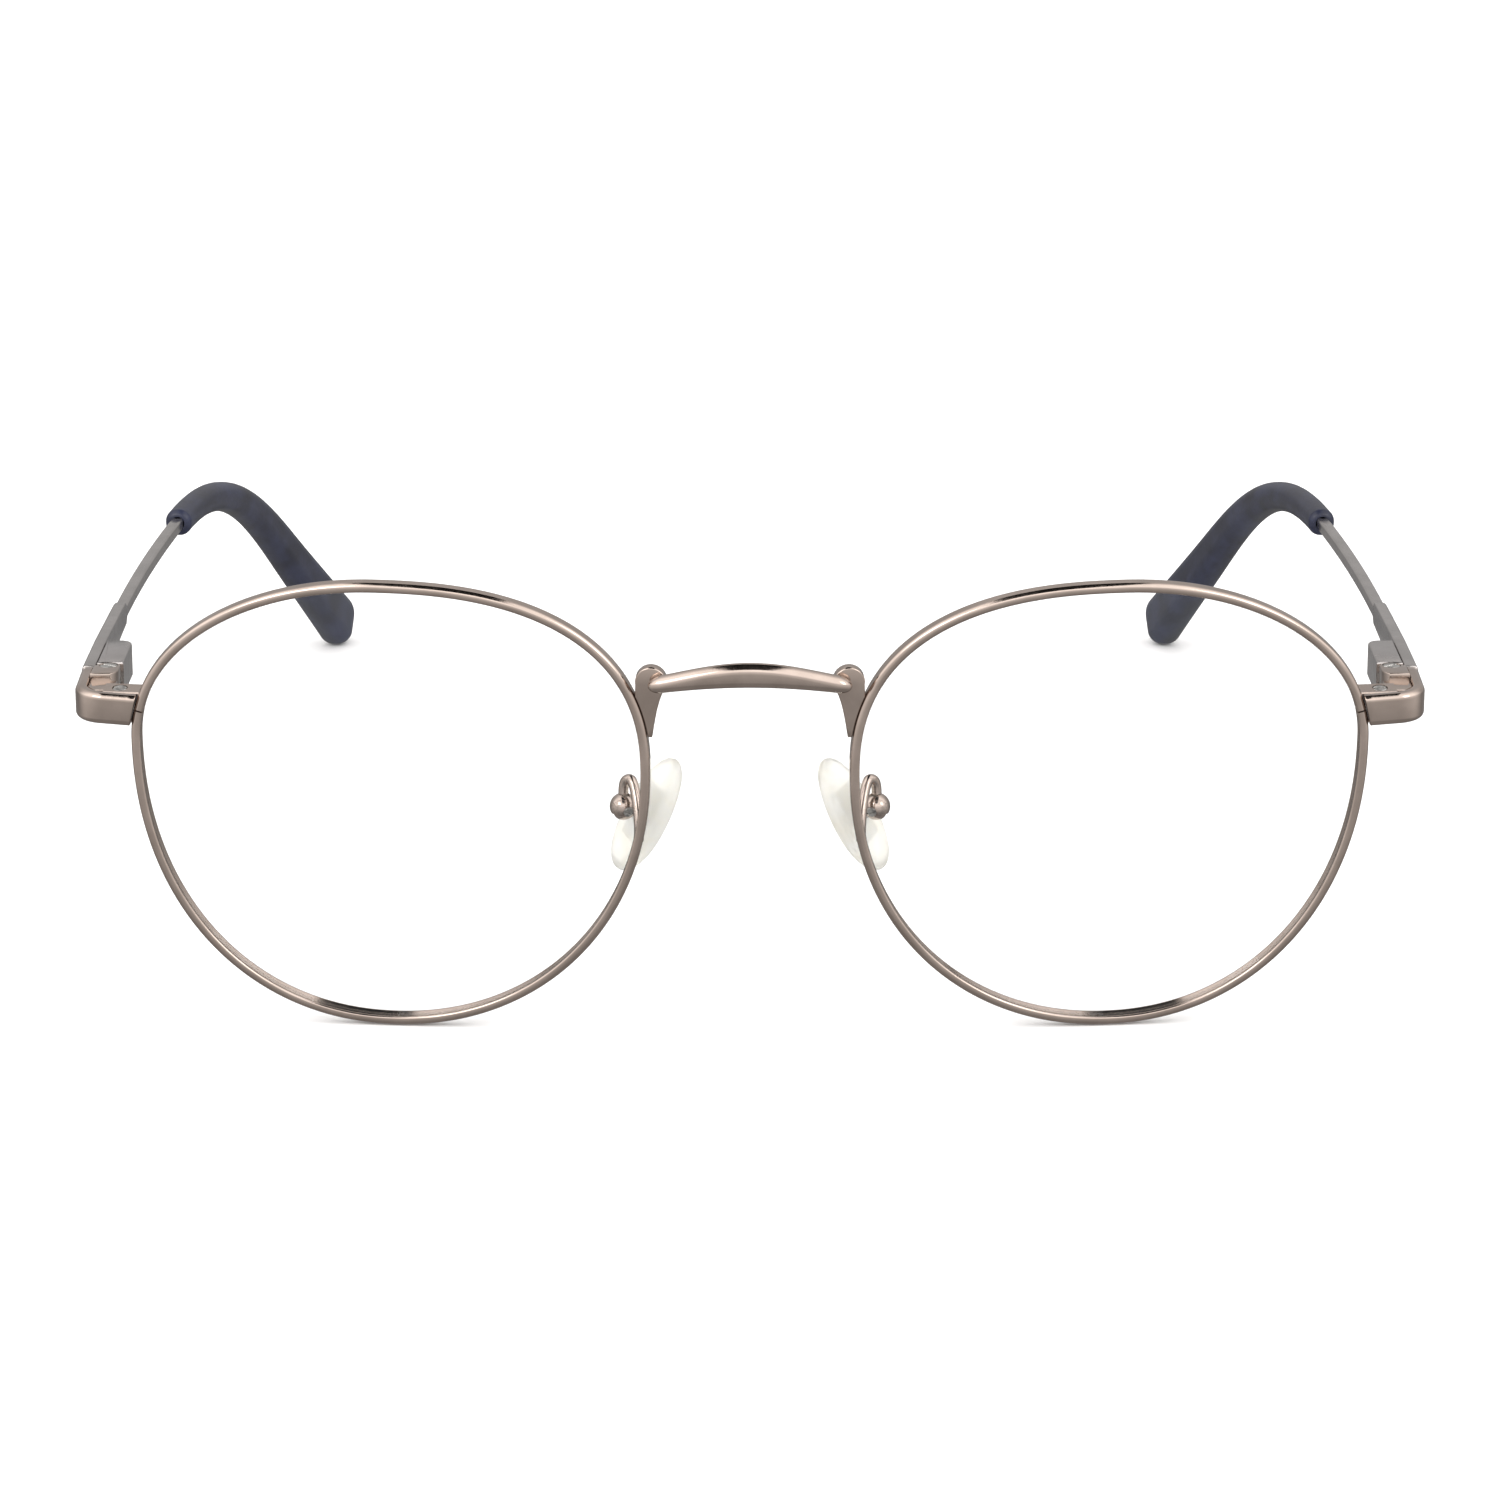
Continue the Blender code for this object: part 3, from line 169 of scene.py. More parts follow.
def swept(centres: Array, across: Array, up: Array, sections: Sequence[Array]) -> Array:
    """Rings of a bar, one section at each place on its line.

    Args:
        centres: Points of the line.
        across: Unit vector at each point for the sections' first coordinate.
        up: Unit vector at each point for their second.
        sections: Outline for each point.

    Returns:
        Array of rows, columns and xyz.
    """
    places = zip(centres, across, up, sections)
    return np.stack([spot + x * part[:, :1] + z * part[:, 1:] for spot, x, z, part in places])


def soft_ends(rings: Array, edge: float) -> Array:
    """Rings with both ends rounded: each end ring is pulled in and followed by smaller ones.

    An end ring at distance e from the end shrinks by e (1 - cos a) as it moves out by e sin a.

    Args:
        rings: Rows, columns and xyz.
        edge: Radius of the rounded rim in metres.

    Returns:
        The longer array of rings.
    """

    def rounded(ring: Array, inner: Array) -> Array:
        """Rings that close in round one end.

        Args:
            ring: The end ring.
            inner: The ring before it.

        Returns:
            Four rings, from full size outwards.
        """
        centre = ring.mean(axis=0)
        out = centre - inner.mean(axis=0)
        out /= np.linalg.norm(out)
        spokes = ring - centre
        reach = np.linalg.norm(spokes, axis=1, keepdims=True)
        shrunk = [spokes * (1 - edge * (1 - math.cos(a)) / reach) for a in ROUNDING]
        drawn = [out * edge * (1 - math.sin(a)) for a in ROUNDING]
        return np.stack([centre + wide - deep for wide, deep in zip(shrunk, drawn)])

    head = rounded(rings[0], rings[1])[::-1]
    tail = rounded(rings[-1], rings[-2])
    return np.concatenate([head, rings[1:-1], tail])


def rounded_section(
    half_x: float, half_y: float, low_radius: float, high_radius: float, steps: int = 7
) -> Array:
    """Rectangle with quarter-circle corners, anticlockwise, one radius on each x side.

    Args:
        half_x: Half of its size along x.
        half_y: Half of its size along y.
        low_radius: Radius of the corners at -x.
        high_radius: Radius of the corners at +x.
        steps: Points on each quarter circle.

    Returns:
        The points as an array of x and y.
    """
    turn = np.radians(np.linspace(0.0, 90.0, steps))
    sx = np.array([1, -1, -1, 1]).repeat(steps)
    sy = np.array([1, 1, -1, -1]).repeat(steps)
    radius = np.where(sx > 0, high_radius, low_radius)
    angle = (turn + np.radians([[0.0], [90.0], [180.0], [270.0]])).ravel()
    return np.stack(
        [
            sx * (half_x - radius) + radius * np.cos(angle),
            sy * (half_y - radius) + radius * np.sin(angle),
        ],
        axis=1,
    )


def smooth_step(t: Array | float) -> Array:
    """3t² - 2t³ between 0 and 1."""
    t = np.clip(t, 0.0, 1.0)
    return t * t * (3.0 - 2.0 * t)


def blend(start: Array | float, end: Array | float, share: Array) -> Array:
    """A straight blend of two values."""
    return start + (end - start) * share


def extruded(outline: Array, low: float, high: float, edge: float) -> Shape:
    """An outline in x and y given height, its two rims rounded by stepping the outline in.

    Args:
        outline: Anticlockwise points of x and y.
        low: Height of its foot.
        high: Height of its top.
        edge: Radius of the rims.

    Returns:
        The closed shape.
    """
    tangent = np.roll(outline, -1, axis=0) - np.roll(outline, 1, axis=0)
    tangent /= np.linalg.norm(tangent, axis=1, keepdims=True)
    inward = np.stack([-tangent[:, 1], tangent[:, 0]], axis=1)
    inset, rise = edge * (1 - np.sin(ROUNDING)), edge * (1 - np.cos(ROUNDING))
    insets = np.concatenate([inset, inset[::-1]])
    levels = np.concatenate([low + rise, high - rise[::-1]])
    rings = [flat_ring(outline + inward * d, z) for d, z in zip(insets, levels)]
    return grid_shape(np.stack(rings), Ends.FLAT)


def turned(profile: Sequence[tuple[float, float]], sides: int = 40) -> Shape:
    """Surface of revolution about z from (radius, height) points, lowest first.

    Args:
        profile: Radius and height of each ring.
        sides: Points round it.

    Returns:
        The closed shape.
    """
    angle = np.linspace(0.0, 2 * math.pi, sides, endpoint=False)
    r, h = np.array(profile).T
    rings = np.stack(
        [np.outer(r, np.cos(angle)), np.outer(r, np.sin(angle)), np.outer(h, np.ones(sides))],
        axis=-1,
    )
    return grid_shape(rings)


def block(low: Sequence[float], high: Sequence[float]) -> Shape:
    """A plain box.

    Args:
        low: Its corner with the least x, y and z.
        high: The opposite corner.

    Returns:
        The closed shape.
    """
    (x0, y0, z0), (x1, y1, z1) = low, high
    outline = np.array([(x1, y0), (x1, y1), (x0, y1), (x0, y0)])
    return grid_shape(np.stack([flat_ring(outline, z) for z in (z0, z1)]))


def turn_x(angle: float) -> Array:
    """Rotation about x."""
    c, s = math.cos(angle), math.sin(angle)
    return np.array([[1, 0, 0], [0, c, -s], [0, s, c]], float)


def turn_y(angle: float) -> Array:
    """Rotation about y."""
    c, s = math.cos(angle), math.sin(angle)
    return np.array([[c, 0, s], [0, 1, 0], [-s, 0, c]], float)


def turn_z(angle: float) -> Array:
    """Rotation about z."""
    c, s = math.cos(angle), math.sin(angle)
    return np.array([[c, -s, 0], [s, c, 0], [0, 0, 1]], float)


def to_mesh(name: str, shape: Shape) -> bpy.types.Mesh:
    """Mesh data of a shape, with its pattern places as a UV map.

    Args:
        name: Name of the mesh.
        shape: The closed surface.

    Returns:
        The mesh data.
    """
    mesh = bpy.data.meshes.new(name)
    mesh.from_pydata(shape.points.tolist(), [], shape.faces)
    layer = mesh.uv_layers.new(name="pattern")
    layer.data.foreach_set("uv", (shape.corners * UV_PER_METRE).astype(np.float32).ravel())
    mesh.update()
    return mesh


def carved(
    name: str, body: Shape, cutters: Sequence[Shape], added: Sequence[Shape] = ()
) -> bpy.types.Mesh:
    """Mesh data of a shape with others cut out of it by exact Booleans.

    Args:
        name: Name of the mesh.
        body: What is cut.
        cutters: What is taken away.
        added: What is joined on after the cuts.

    Returns:
        The finished mesh data.
    """
    base = bpy.data.objects.new(name + "_blank", to_mesh(name, body))
    bpy.context.scene.collection.objects.link(base)
    tools = []
    steps = [(shape, "DIFFERENCE") for shape in cutters] + [(shape, "UNION") for shape in added]
    for shape, operation in steps:
        tool = bpy.data.objects.new(name + "_tool", to_mesh(name + "_tool", shape))
        bpy.context.scene.collection.objects.link(tool)
        tools.append(tool)
        step = base.modifiers.new("step", "BOOLEAN")
        step.object, step.operation, step.solver = tool, operation, "EXACT"
    bpy.context.view_layer.update()
    graph = bpy.context.evaluated_depsgraph_get()
    mesh = bpy.data.meshes.new_from_object(base.evaluated_get(graph))
    for helper in (base, *tools):
        data = helper.data
        bpy.data.objects.remove(helper, do_unlink=True)
        bpy.data.meshes.remove(data)
    return mesh


# ---------------------------------------------------------------- materials


class Wire:
    """A shader value that takes part in Python arithmetic by adding Math nodes."""

    def __init__(self, graph: Graph, socket: bpy.types.NodeSocket) -> None:
        """Wrap an output socket."""
        self.graph, self.socket = graph, socket

    def _math(self, operation: str, *values: Wire | float) -> Wire:
        """One Math node over these values."""
        return self.graph.add(
            "ShaderNodeMath", {"operation": operation}, dict(enumerate(values))
        )

    def __add__(self, other: Wire | float) -> Wire:
        """Sum."""
        return self._math("ADD", self, other)

    def __radd__(self, other: float) -> Wire:
        """Reflected sum."""
        return self._math("ADD", other, self)

    def __sub__(self, other: Wire | float) -> Wire:
        """Difference."""
        return self._math("SUBTRACT", self, other)

    def __rsub__(self, other: float) -> Wire:
        """Reflected difference."""
        return self._math("SUBTRACT", other, self)

    def __mul__(self, other: Wire | float) -> Wire:
        """Product."""
        return self._math("MULTIPLY", self, other)

    def __rmul__(self, other: float) -> Wire:
        """Reflected product."""
        return self._math("MULTIPLY", other, self)

    def over(self, low: float, high: float) -> Wire:
        """0 below low, 1 above high, smooth between."""
        inputs = {"Value": self, "From Min": low, "From Max": high}
        return self.graph.add("ShaderNodeMapRange", {"interpolation_type": "SMOOTHSTEP"}, inputs)


class Graph:
    """The node tree of a material or a world, with its first shader ready to be fed."""

    def __init__(self, owner: bpy.types.Material | bpy.types.World) -> None:
        """Take over the owner's nodes.

        Args:
            owner: The material or world.
        """
        owner.use_nodes = True
        self.owner, self.tree = owner, owner.node_tree
        kinds = ("BSDF_PRINCIPLED", "BACKGROUND")
        self.shader = next(node for node in self.tree.nodes if node.type in kinds)

    def add(self, kind: str, settings: dict, inputs: dict, output: int | str = 0) -> Wire:
        """Add a node.

        Args:
            kind: Node type.
            settings: Attributes set on it first.
            inputs: Socket name or number to a value or a Wire.
            output: Which output to return.

        Returns:
            That output as a Wire.
        """
        node = self.tree.nodes.new(kind)
        for key, value in settings.items():
            setattr(node, key, value)
        for key, value in inputs.items():
            self.feed(node, key, value)
        return Wire(self, node.outputs[output])

    def feed(self, node: bpy.types.Node, key: str | int, value: object) -> None:
        """Set one input socket, by a link if the value is a Wire.

        Args:
            node: The node.
            key: Name or number of its socket.
            value: A Wire or a plain value.
        """
        if isinstance(value, Wire):
            self.tree.links.new(value.socket, node.inputs[key])
        else:
            node.inputs[key].default_value = value

    def set(self, **inputs: object) -> None:
        """Feed the first shader, with underscores for the spaces of socket names."""
        for key, value in inputs.items():
            self.feed(self.shader, key.replace("_", " "), value)

    def place(self) -> Wire:
        """Object coordinates, which are metres in the frame of the glasses."""
        return self.add("ShaderNodeTexCoord", {}, {}, "Object")

    def pattern(self, along: float, across: float) -> Wire:
        """The piece's own pattern places, stretched along and across."""
        uv = self.add("ShaderNodeUVMap", {"uv_map": "pattern"}, {})
        return self.add("ShaderNodeMapping", {}, {"Vector": uv, "Scale": (along, across, 1.0)})

    def noise(self, where: Wire, scale: float, detail: float = 3.0, rough: float = 0.5) -> Wire:
        """Noise from 0 to 1 at places."""
        inputs = {"Vector": where, "Scale": scale, "Detail": detail, "Roughness": rough}
        return self.add("ShaderNodeTexNoise", {}, inputs)

    def mix(self, factor: Wire | float, low: object, high: object) -> Wire:
        """A colour between two others."""
        inputs = {0: factor, 6: low, 7: high}
        return self.add("ShaderNodeMix", {"data_type": "RGBA"}, inputs, 2)

    def bump(self, height: Wire, distance: float, strength: float = 1.0) -> None:
        """Bump the shader's normal by a height from 0 to 1, worth this many metres."""
        inputs = {"Height": height, "Distance": distance, "Strength": strength}
        self.set(Normal=self.add("ShaderNodeBump", {}, inputs))


@dataclass(frozen=True)
class Plating:
    """Polished plated metal: soft polishing lines, hazy patches and a little dust."""

    name: str
    tone: tuple[float, float, float]
    shade: tuple[float, float, float]
    gloss: float = 0.10
    haze: float = 0.10
    lines: float = 0.35
    has_pattern: bool = True

    def make(self) -> bpy.types.Material:
        """Colour from slow tone drift, roughness from haze plus fine lines along the piece.

        Returns:
            The material.
        """
        graph = Graph(bpy.data.materials.new(self.name))
        place = graph.place()
        drift = graph.noise(place, 260.0, 3.0)
        haze = graph.noise(place, 900.0, 5.0, 0.62)
        specks = graph.noise(place, 5200.0, 2.0).over(0.72, 0.82)
        lined = graph.pattern(3.0, 160.0) if self.has_pattern else place
        lines = graph.noise(lined, 6.0 if self.has_pattern else 2600.0, 4.0, 0.7)
        scratch = lines.over(0.52, 0.74)
        colour = graph.mix(drift.over(0.32, 0.68), (*self.shade, 1.0), (*self.tone, 1.0))
        colour = graph.mix(specks * 0.15, colour, (0.62, 0.58, 0.54, 1.0))
        rough = self.gloss + self.haze * haze.over(0.35, 0.8) + 0.05 * scratch + 0.06 * specks
        graph.set(Base_Color=colour, Roughness=rough, Metallic=1.0 - 0.1 * specks)
        graph.bump(lines * self.lines + haze * 0.5, 0.000004, 0.6)
        return graph.owner


@dataclass(frozen=True)
class TurnedSteel:
    """Plain machined steel: bright rings from the lathe over a grey ground."""

    name: str = "screw_steel"
    tone: tuple[float, float, float] = (0.50, 0.49, 0.47)

    def make(self) -> bpy.types.Material:
        """Fine noise as tool marks in roughness and bump, with darker oil in random patches.

        Returns:
            The material.
        """
        graph = Graph(bpy.data.materials.new(self.name))
        place = graph.place()
        marks = graph.noise(place, 7000.0, 4.0, 0.7)
        oil = graph.noise(place, 1500.0, 3.0).over(0.45, 0.7)
        tone = (*self.tone, 1.0)
        dark = (*(0.45 * c for c in self.tone), 1.0)
        graph.set(Base_Color=graph.mix(oil, tone, dark), Metallic=1.0)
        graph.set(Roughness=0.2 + 0.16 * marks + 0.1 * oil)
        graph.bump(marks, 0.000004, 0.7)
        return graph.owner


@dataclass(frozen=True)
class Acetate:
    """Tumble-polished navy acetate: faint marbling in depth under a soft clear surface."""

    name: str = "navy_acetate"
    deep: tuple[float, float, float] = (0.0065, 0.0075, 0.018)
    light: tuple[float, float, float] = (0.020, 0.024, 0.052)

    def make(self) -> bpy.types.Material:
        """Slow marbling in colour, haze and hairline scuffs in roughness, a faint tumbled skin.

        Returns:
            The material.
        """
        graph = Graph(bpy.data.materials.new(self.name))
        place = graph.place()
        bend = graph.noise(graph.pattern(0.5, 1.4), 1.6, 4.0, 0.6)
        cloud = graph.noise(place, 190.0, 4.0, 0.55)
        scuff = graph.noise(graph.pattern(2.0, 22.0), 5.0, 5.0, 0.75).over(0.6, 0.78)
        skin = graph.noise(place, 2600.0, 3.0, 0.6)
        depth = bend * 0.6 + cloud * 0.4
        colour = graph.mix(depth.over(0.38, 0.66), (*self.deep, 1.0), (*self.light, 1.0))
        graph.set(Base_Color=colour, Roughness=0.3 + 0.1 * skin + 0.12 * scuff)
        graph.set(Specular_IOR_Level=0.4, IOR=1.47)
        graph.bump(skin * 0.7 + scuff * 0.3, 0.000006, 0.5)
        return graph.owner


@dataclass(frozen=True)
class Moulded:
    """Moulded clear plastic or silicone: cloudy in its depth, matt with fine lint."""

    name: str
    milk: tuple[float, float, float] = (0.93, 0.93, 0.90)
    aged: tuple[float, float, float] = (0.92, 0.90, 0.82)
    clarity: float = 0.66
    index: float = 1.41

    def make(self) -> bpy.types.Material:
        """Clouds between fresh and aged tones, with roughness from a fine moulded grain.

        Returns:
            The material.
        """
        graph = Graph(bpy.data.materials.new(self.name))
        place = graph.place()
        cloud = graph.noise(place, 420.0, 4.0, 0.6)
        grain = graph.noise(place, 900.0, 2.0, 0.5)
        lint = graph.noise(place, 1500.0, 1.0).over(0.7, 0.78)
        colour = graph.mix(cloud.over(0.35, 0.7), (*self.milk, 1.0), (*self.aged, 1.0))
        graph.set(Base_Color=colour, Roughness=0.3 + 0.1 * grain + 0.15 * lint)
        graph.set(Transmission_Weight=self.clarity, IOR=self.index)
        graph.bump(grain, 0.000004, 0.3)
        return graph.owner


@dataclass(frozen=True)
class ClearLens:
    """Clear lens: almost nothing but its reflections, stronger at a grazing look."""

    name: str = "clear_lens"
    edge_tone: tuple[float, float, float] = (0.86, 0.90, 0.90)

    def make(self) -> bpy.types.Material:
        """Opacity follows the Fresnel curve, with faint smears in the roughness.

        Returns:
            The material.
        """
        graph = Graph(bpy.data.materials.new(self.name))
        smear = graph.noise(graph.place(), 90.0, 4.0, 0.6)
        mirror = graph.add("ShaderNodeFresnel", {}, {"IOR": 1.5})
        graph.set(Base_Color=(*self.edge_tone, 1.0), Metallic=1.0)
        graph.set(Roughness=0.01 + 0.05 * smear.over(0.5, 0.8))
        graph.set(Alpha=mirror * 0.3 + 0.003)
        return graph.owner


Finish = Plating | TurnedSteel | Acetate | Moulded | ClearLens
GUNMETAL = Plating("rim_gunmetal", (0.50, 0.415, 0.365), (0.43, 0.355, 0.31))
BLOCK_METAL = Plating(
    "block_gunmetal", (0.48, 0.40, 0.35), (0.42, 0.35, 0.31), 0.14, 0.1, 0.3, has_pattern=False
)
HINGE_METAL = Plating("hinge_gunmetal", (0.49, 0.41, 0.36), (0.42, 0.35, 0.31), 0.12, 0.10)
CASE_METAL = Plating("case_gunmetal", (0.49, 0.46, 0.45), (0.43, 0.405, 0.395), 0.17, 0.12)
TEMPLE_METAL = Plating("temple_gunmetal", (0.48, 0.45, 0.435), (0.41, 0.385, 0.37), 0.15, 0.12)
BARE_STEEL = Plating(
    "inner_steel", (0.52, 0.50, 0.48), (0.44, 0.43, 0.41), 0.2, 0.12, 0.3, has_pattern=False
)
SILICONE = Moulded("milky_silicone")
POLYCARBONATE = Moulded(
    "clear_polycarbonate", (0.95, 0.96, 0.96), (0.90, 0.91, 0.90), clarity=0.9, index=1.5
)


class Cabinet:
    """Makes each finish once and hands it to the pieces."""

    def __init__(self) -> None:
        """Start with no finish made."""
        self.made: dict[str, bpy.types.Material] = {}

    def take(self, finish: Finish) -> bpy.types.Material:
        """The material of a finish, made on its first use.

        Args:
            finish: Which finish.

        Returns:
            Its material, the same one each time.
        """
        if finish.name not in self.made:
            self.made[finish.name] = finish.make()
        return self.made[finish.name]


CABINET = Cabinet()


# ---------------------------------------------------------------- how the glasses stand


@dataclass
class Stance:
    """Sizes that pieces share, and the way from the side frame to where the glasses stand."""

    front_width: float = 130.0 * MM
    temple_thickness: float = 1.3 * MM
    housing_width: float = 2.6 * MM
    lug_thickness: float = 1.15 * MM
    butt_gap: float = 0.12 * MM
    seat_gap: float = 0.05 * MM
    setback: float = 8.0 * MM
    pad_pivot: tuple[float, float, float] = (12.3 * MM, 4.3 * MM, -1.45 * MM)
    lean: float = field(init=False)
    hinge: Array = field(init=False)
    origin: Array = field(init=False)

    def __post_init__(self) -> None:
        """Read the lean from the fold joint's axis, and the origin from the pad joint's place."""
        joints = {joint["name"]: joint for joint in frame["joints"]}
        fold, pad = joints["right_temple_fold"], joints["right_pad_rock"]
        self.lean = -math.atan2(fold["axis"][1], fold["axis"][2])
        back = turn_x(-self.lean)
        self.origin = np.array(pad["pos_m"]) - back.T @ np.array(self.pad_pivot)
        self.hinge = back @ (np.array(fold["pos_m"]) - self.origin)
        LOG.info("lean %.3f deg, hinge at %s mm", math.degrees(self.lean), self.hinge / MM)

    def world(
        self, shape: Shape, side: Side, turn: Array = UPRIGHT, offset: Array = ORIGIN
    ) -> Shape:
        """A shape from a seat in the side frame to where the glasses stand.

        Args:
            shape: The shape in its seat's frame.
            side: Which half it belongs to.
            turn: The seat's rotation in the side frame.
            offset: The seat's place in the side frame.

        Returns:
            The placed shape.
        """
        mirror = np.diag([side.value, 1.0, 1.0])
        whole = turn_x(self.lean) @ mirror
        return shape.moved(whole @ turn, whole @ offset + self.origin)


@dataclass(frozen=True)
class Piece:
    """A finished object, named without its side, with the node that it stands for."""

    name: str
    node: str
    slot: str
    finish: Finish
    sharp: float = 32.0
    body: str = "front"

    def put(self, side: Side | None, made: Shape | bpy.types.Mesh) -> None:
        """Put a surface into the scene as this piece, riding on its body.

        Args:
            side: Which half it belongs to, or None for a piece that is there once.
            made: The surface, in the frame the glasses stand in.
        """
        name, node, body = self.name, self.node, self.body
        if side is not None:
            name, node = side.node(name), side.node(node)
            body = body if body == "front" else side.node(body)
        mesh = to_mesh(name, made) if isinstance(made, Shape) else made
        mesh.shade_smooth()
        mesh.set_sharp_from_angle(angle=math.radians(self.sharp))
        mesh.materials.clear()
        mesh.materials.append(CABINET.take(self.finish))
        obj = bpy.data.objects.new(name, mesh)
        bpy.context.scene.collection.objects.link(obj)
        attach(obj, body)
        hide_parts(node)
        LOG.info("%s: %d faces on %s", name, len(mesh.polygons), body)


def dress(side: Side, names: Sequence[str], finish: Finish) -> None:
    """Give CAD nodes that keep their shape a finish.

    Args:
        side: Which half they belong to.
        names: Their names without the side.
        finish: The finish.
    """
    for name in map(side.node, names):
        node = frame["nodes"][name]
        node.data.materials.clear()
        node.data.materials.append(CABINET.take(finish))
        LOG.info("%s keeps its shape, in %s", name, finish.name)


# ---------------------------------------------------------------- rims and lenses


@dataclass
class LensOutline:
    """Edge of the lens: four superellipse quarters between its four extremes."""

    width: float = 49.0 * MM
    height: float = 45.5 * MM
    bridge: float = 20.0 * MM
    widest_temporal: float = 6.2 * MM
    widest_nasal: float = 4.2 * MM
    top_outward: float = 0.9 * MM
    bottom_inward: float = -0.25 * MM
    fullness: tuple[float, float, float, float] = (2.02, 2.38, 2.07, 2.15)
    tilt: float = math.radians(8.0)
    wrap: float = math.radians(4.5)
    base_curve: float = 130.0 * MM
    split_rise: float = 9.15 * MM

    def dense(self, steps: int = 4800) -> Array:
        """Points of the edge, anticlockwise from the split in the rim.

        In each quarter x = apex + (side - apex)|cos a|^(2/n) and z = waist + (end -
        waist)|sin a|^(2/n), with n the quarter's fullness.

        Args:
            steps: How many points.

        Returns:
            The points as x and z in the lens frame.
        """
        angle = np.linspace(0.0, 2 * math.pi, steps, endpoint=False)
        c, s = np.cos(angle), np.sin(angle)
        top, out = s >= 0, c >= 0
        a, b, d, e = self.fullness
        n = np.where(top, np.where(out, a, b), np.where(out, e, d))
        apex = np.where(top, self.top_outward, -self.bottom_inward)
        waist = np.where(out, self.widest_temporal, self.widest_nasal)
        side = np.where(out, 0.5, -0.5) * self.width
        end = np.where(top, 0.5, -0.5) * self.height
        x = apex + (side - apex) * np.abs(c) ** (2 / n)
        z = waist + (end - waist) * np.abs(s) ** (2 / n)
        split = np.argmin(np.where(x > 0, np.abs(z - self.split_rise), 1.0))
        return np.roll(np.stack([x, z], axis=1), -int(split), axis=0)

    def length(self) -> float:
        """Length of the whole edge."""
        ring = self.dense()
        return float(np.linalg.norm(np.roll(ring, -1, axis=0) - ring, axis=1).sum())

    def along(self, shares: Array) -> tuple[Array, Array]:
        """Points and outward normals on the edge.

        Args:
            shares: How far round from the split each is, 0 to 1.

        Returns:
            The points and the normals.
        """
        ring = self.dense()
        ring = np.vstack([ring, ring[:1]])
        run = run_length(ring)
        run /= run[-1]

        def at(t: Array) -> Array:
            """Points at shares of the way round, which may pass 0 or 1."""
            t = np.mod(t, 1.0)
            return np.stack([np.interp(t, run, ring[:, k]) for k in (0, 1)], axis=1)

        tangent = at(shares + 0.004) - at(shares - 0.004)
        tangent /= np.linalg.norm(tangent, axis=1, keepdims=True)
        return at(shares), np.stack([tangent[:, 1], -tangent[:, 0]], axis=1)

    def sag(self, x: Array, z: Array) -> Array:
        """Depth of the base curve's sphere behind its height over the lens's half width."""
        radius, edge = self.base_curve, self.width / 2
        return math.sqrt(radius**2 - edge**2) - np.sqrt(radius**2 - x**2 - z**2)

    def seat(self) -> tuple[Array, Array]:
        """Rotation and place of the lens in the side frame."""
        place = np.array([(self.width + self.bridge) / 2, 0.0, 0.0])
        return turn_x(self.tilt) @ turn_z(self.wrap), place


@dataclass
class Rim:
    """Eyewire of one side: a rounded wire with a V groove, split at the closing block."""

    outline: LensOutline
    stance: Stance
    wall: float = 0.92 * MM
    depth: float = 1.65 * MM
    groove: float = 0.36 * MM
    mouth: float = 1.0 * MM
    outer_round: float = 0.45 * MM
    inner_round: float = 0.2 * MM
    split: float = 0.16 * MM
    steps: int = 420

    def outer(self, rise: float, nasal: bool) -> float:
        """How far out the rim's outer face is.

        Args:
            rise: Height in the lens frame.
            nasal: Whether it is the side at the nose.

        Returns:
            Its x in the lens frame.
        """
        points, normals = self.outline.along(np.linspace(0, 1, 720, endpoint=False))
        points = points + normals * (self.wall - self.groove)
        side = points[(points[:, 0] < 0) == nasal]
        side = side[np.argsort(side[:, 1])]
        return float(np.interp(rise, side[:, 1], side[:, 0]))

    def section(self) -> Array:
        """Outline of the wire: a V groove, rounded corners and a flat outer face.

        Returns:
            Points of (outward, depth).
        """
        inner, outer, half = -self.groove, self.wall - self.groove, self.depth / 2
        a = np.radians(np.linspace(0, 90, 5))
        b = np.radians(np.linspace(0, 90, 8))
        r, q = self.inner_round, self.outer_round
        mouth, root = self.mouth / 2, 0.04 * MM
        groove = np.array([(inner, -mouth), (0.0, -root), (0.0, root), (inner, mouth)])
        back_in = np.stack([inner + r - r * np.cos(a), half - r + r * np.sin(a)], axis=1)
        back_out = np.stack([outer - q + q * np.sin(b), half - q + q * np.cos(b)], axis=1)
        middle = np.linspace(half - q, -(half - q), 7)[1:-1]
        face = np.column_stack([np.full(len(middle), outer), middle])
        front_out = back_out[::-1] * [1, -1]
        front_in = back_in[::-1] * [1, -1]
        return np.vstack([groove, back_in, back_out, face, front_out, front_in])

    def shape(self) -> Shape:
        """Each point of the section carried round the edge, out along its normal.

        Returns:
            The closed shape in the lens frame.
        """
        half = self.split / 2 / self.outline.length()
        shares = np.linspace(half, 1 - half, self.steps)
        points, normals = self.outline.along(shares)
        out, back = self.section().T
        behind = self.outline.sag(points[:, 0], points[:, 1])
        rings = np.stack(
            [
                points[:, :1] + normals[:, :1] * out,
                behind[:, None] + np.broadcast_to(back, (self.steps, len(back))),
                points[:, 1:] + normals[:, 1:] * out,
            ],
            axis=-1,
        )
        return grid_shape(rings)

    def build(self, side: Side) -> None:
        """Make one side's eyewire."""
        shape = self.stance.world(self.shape(), side, *self.outline.seat())
        Piece("rim", "eyewire", "gunmetal", GUNMETAL, 40.0).put(side, shape)


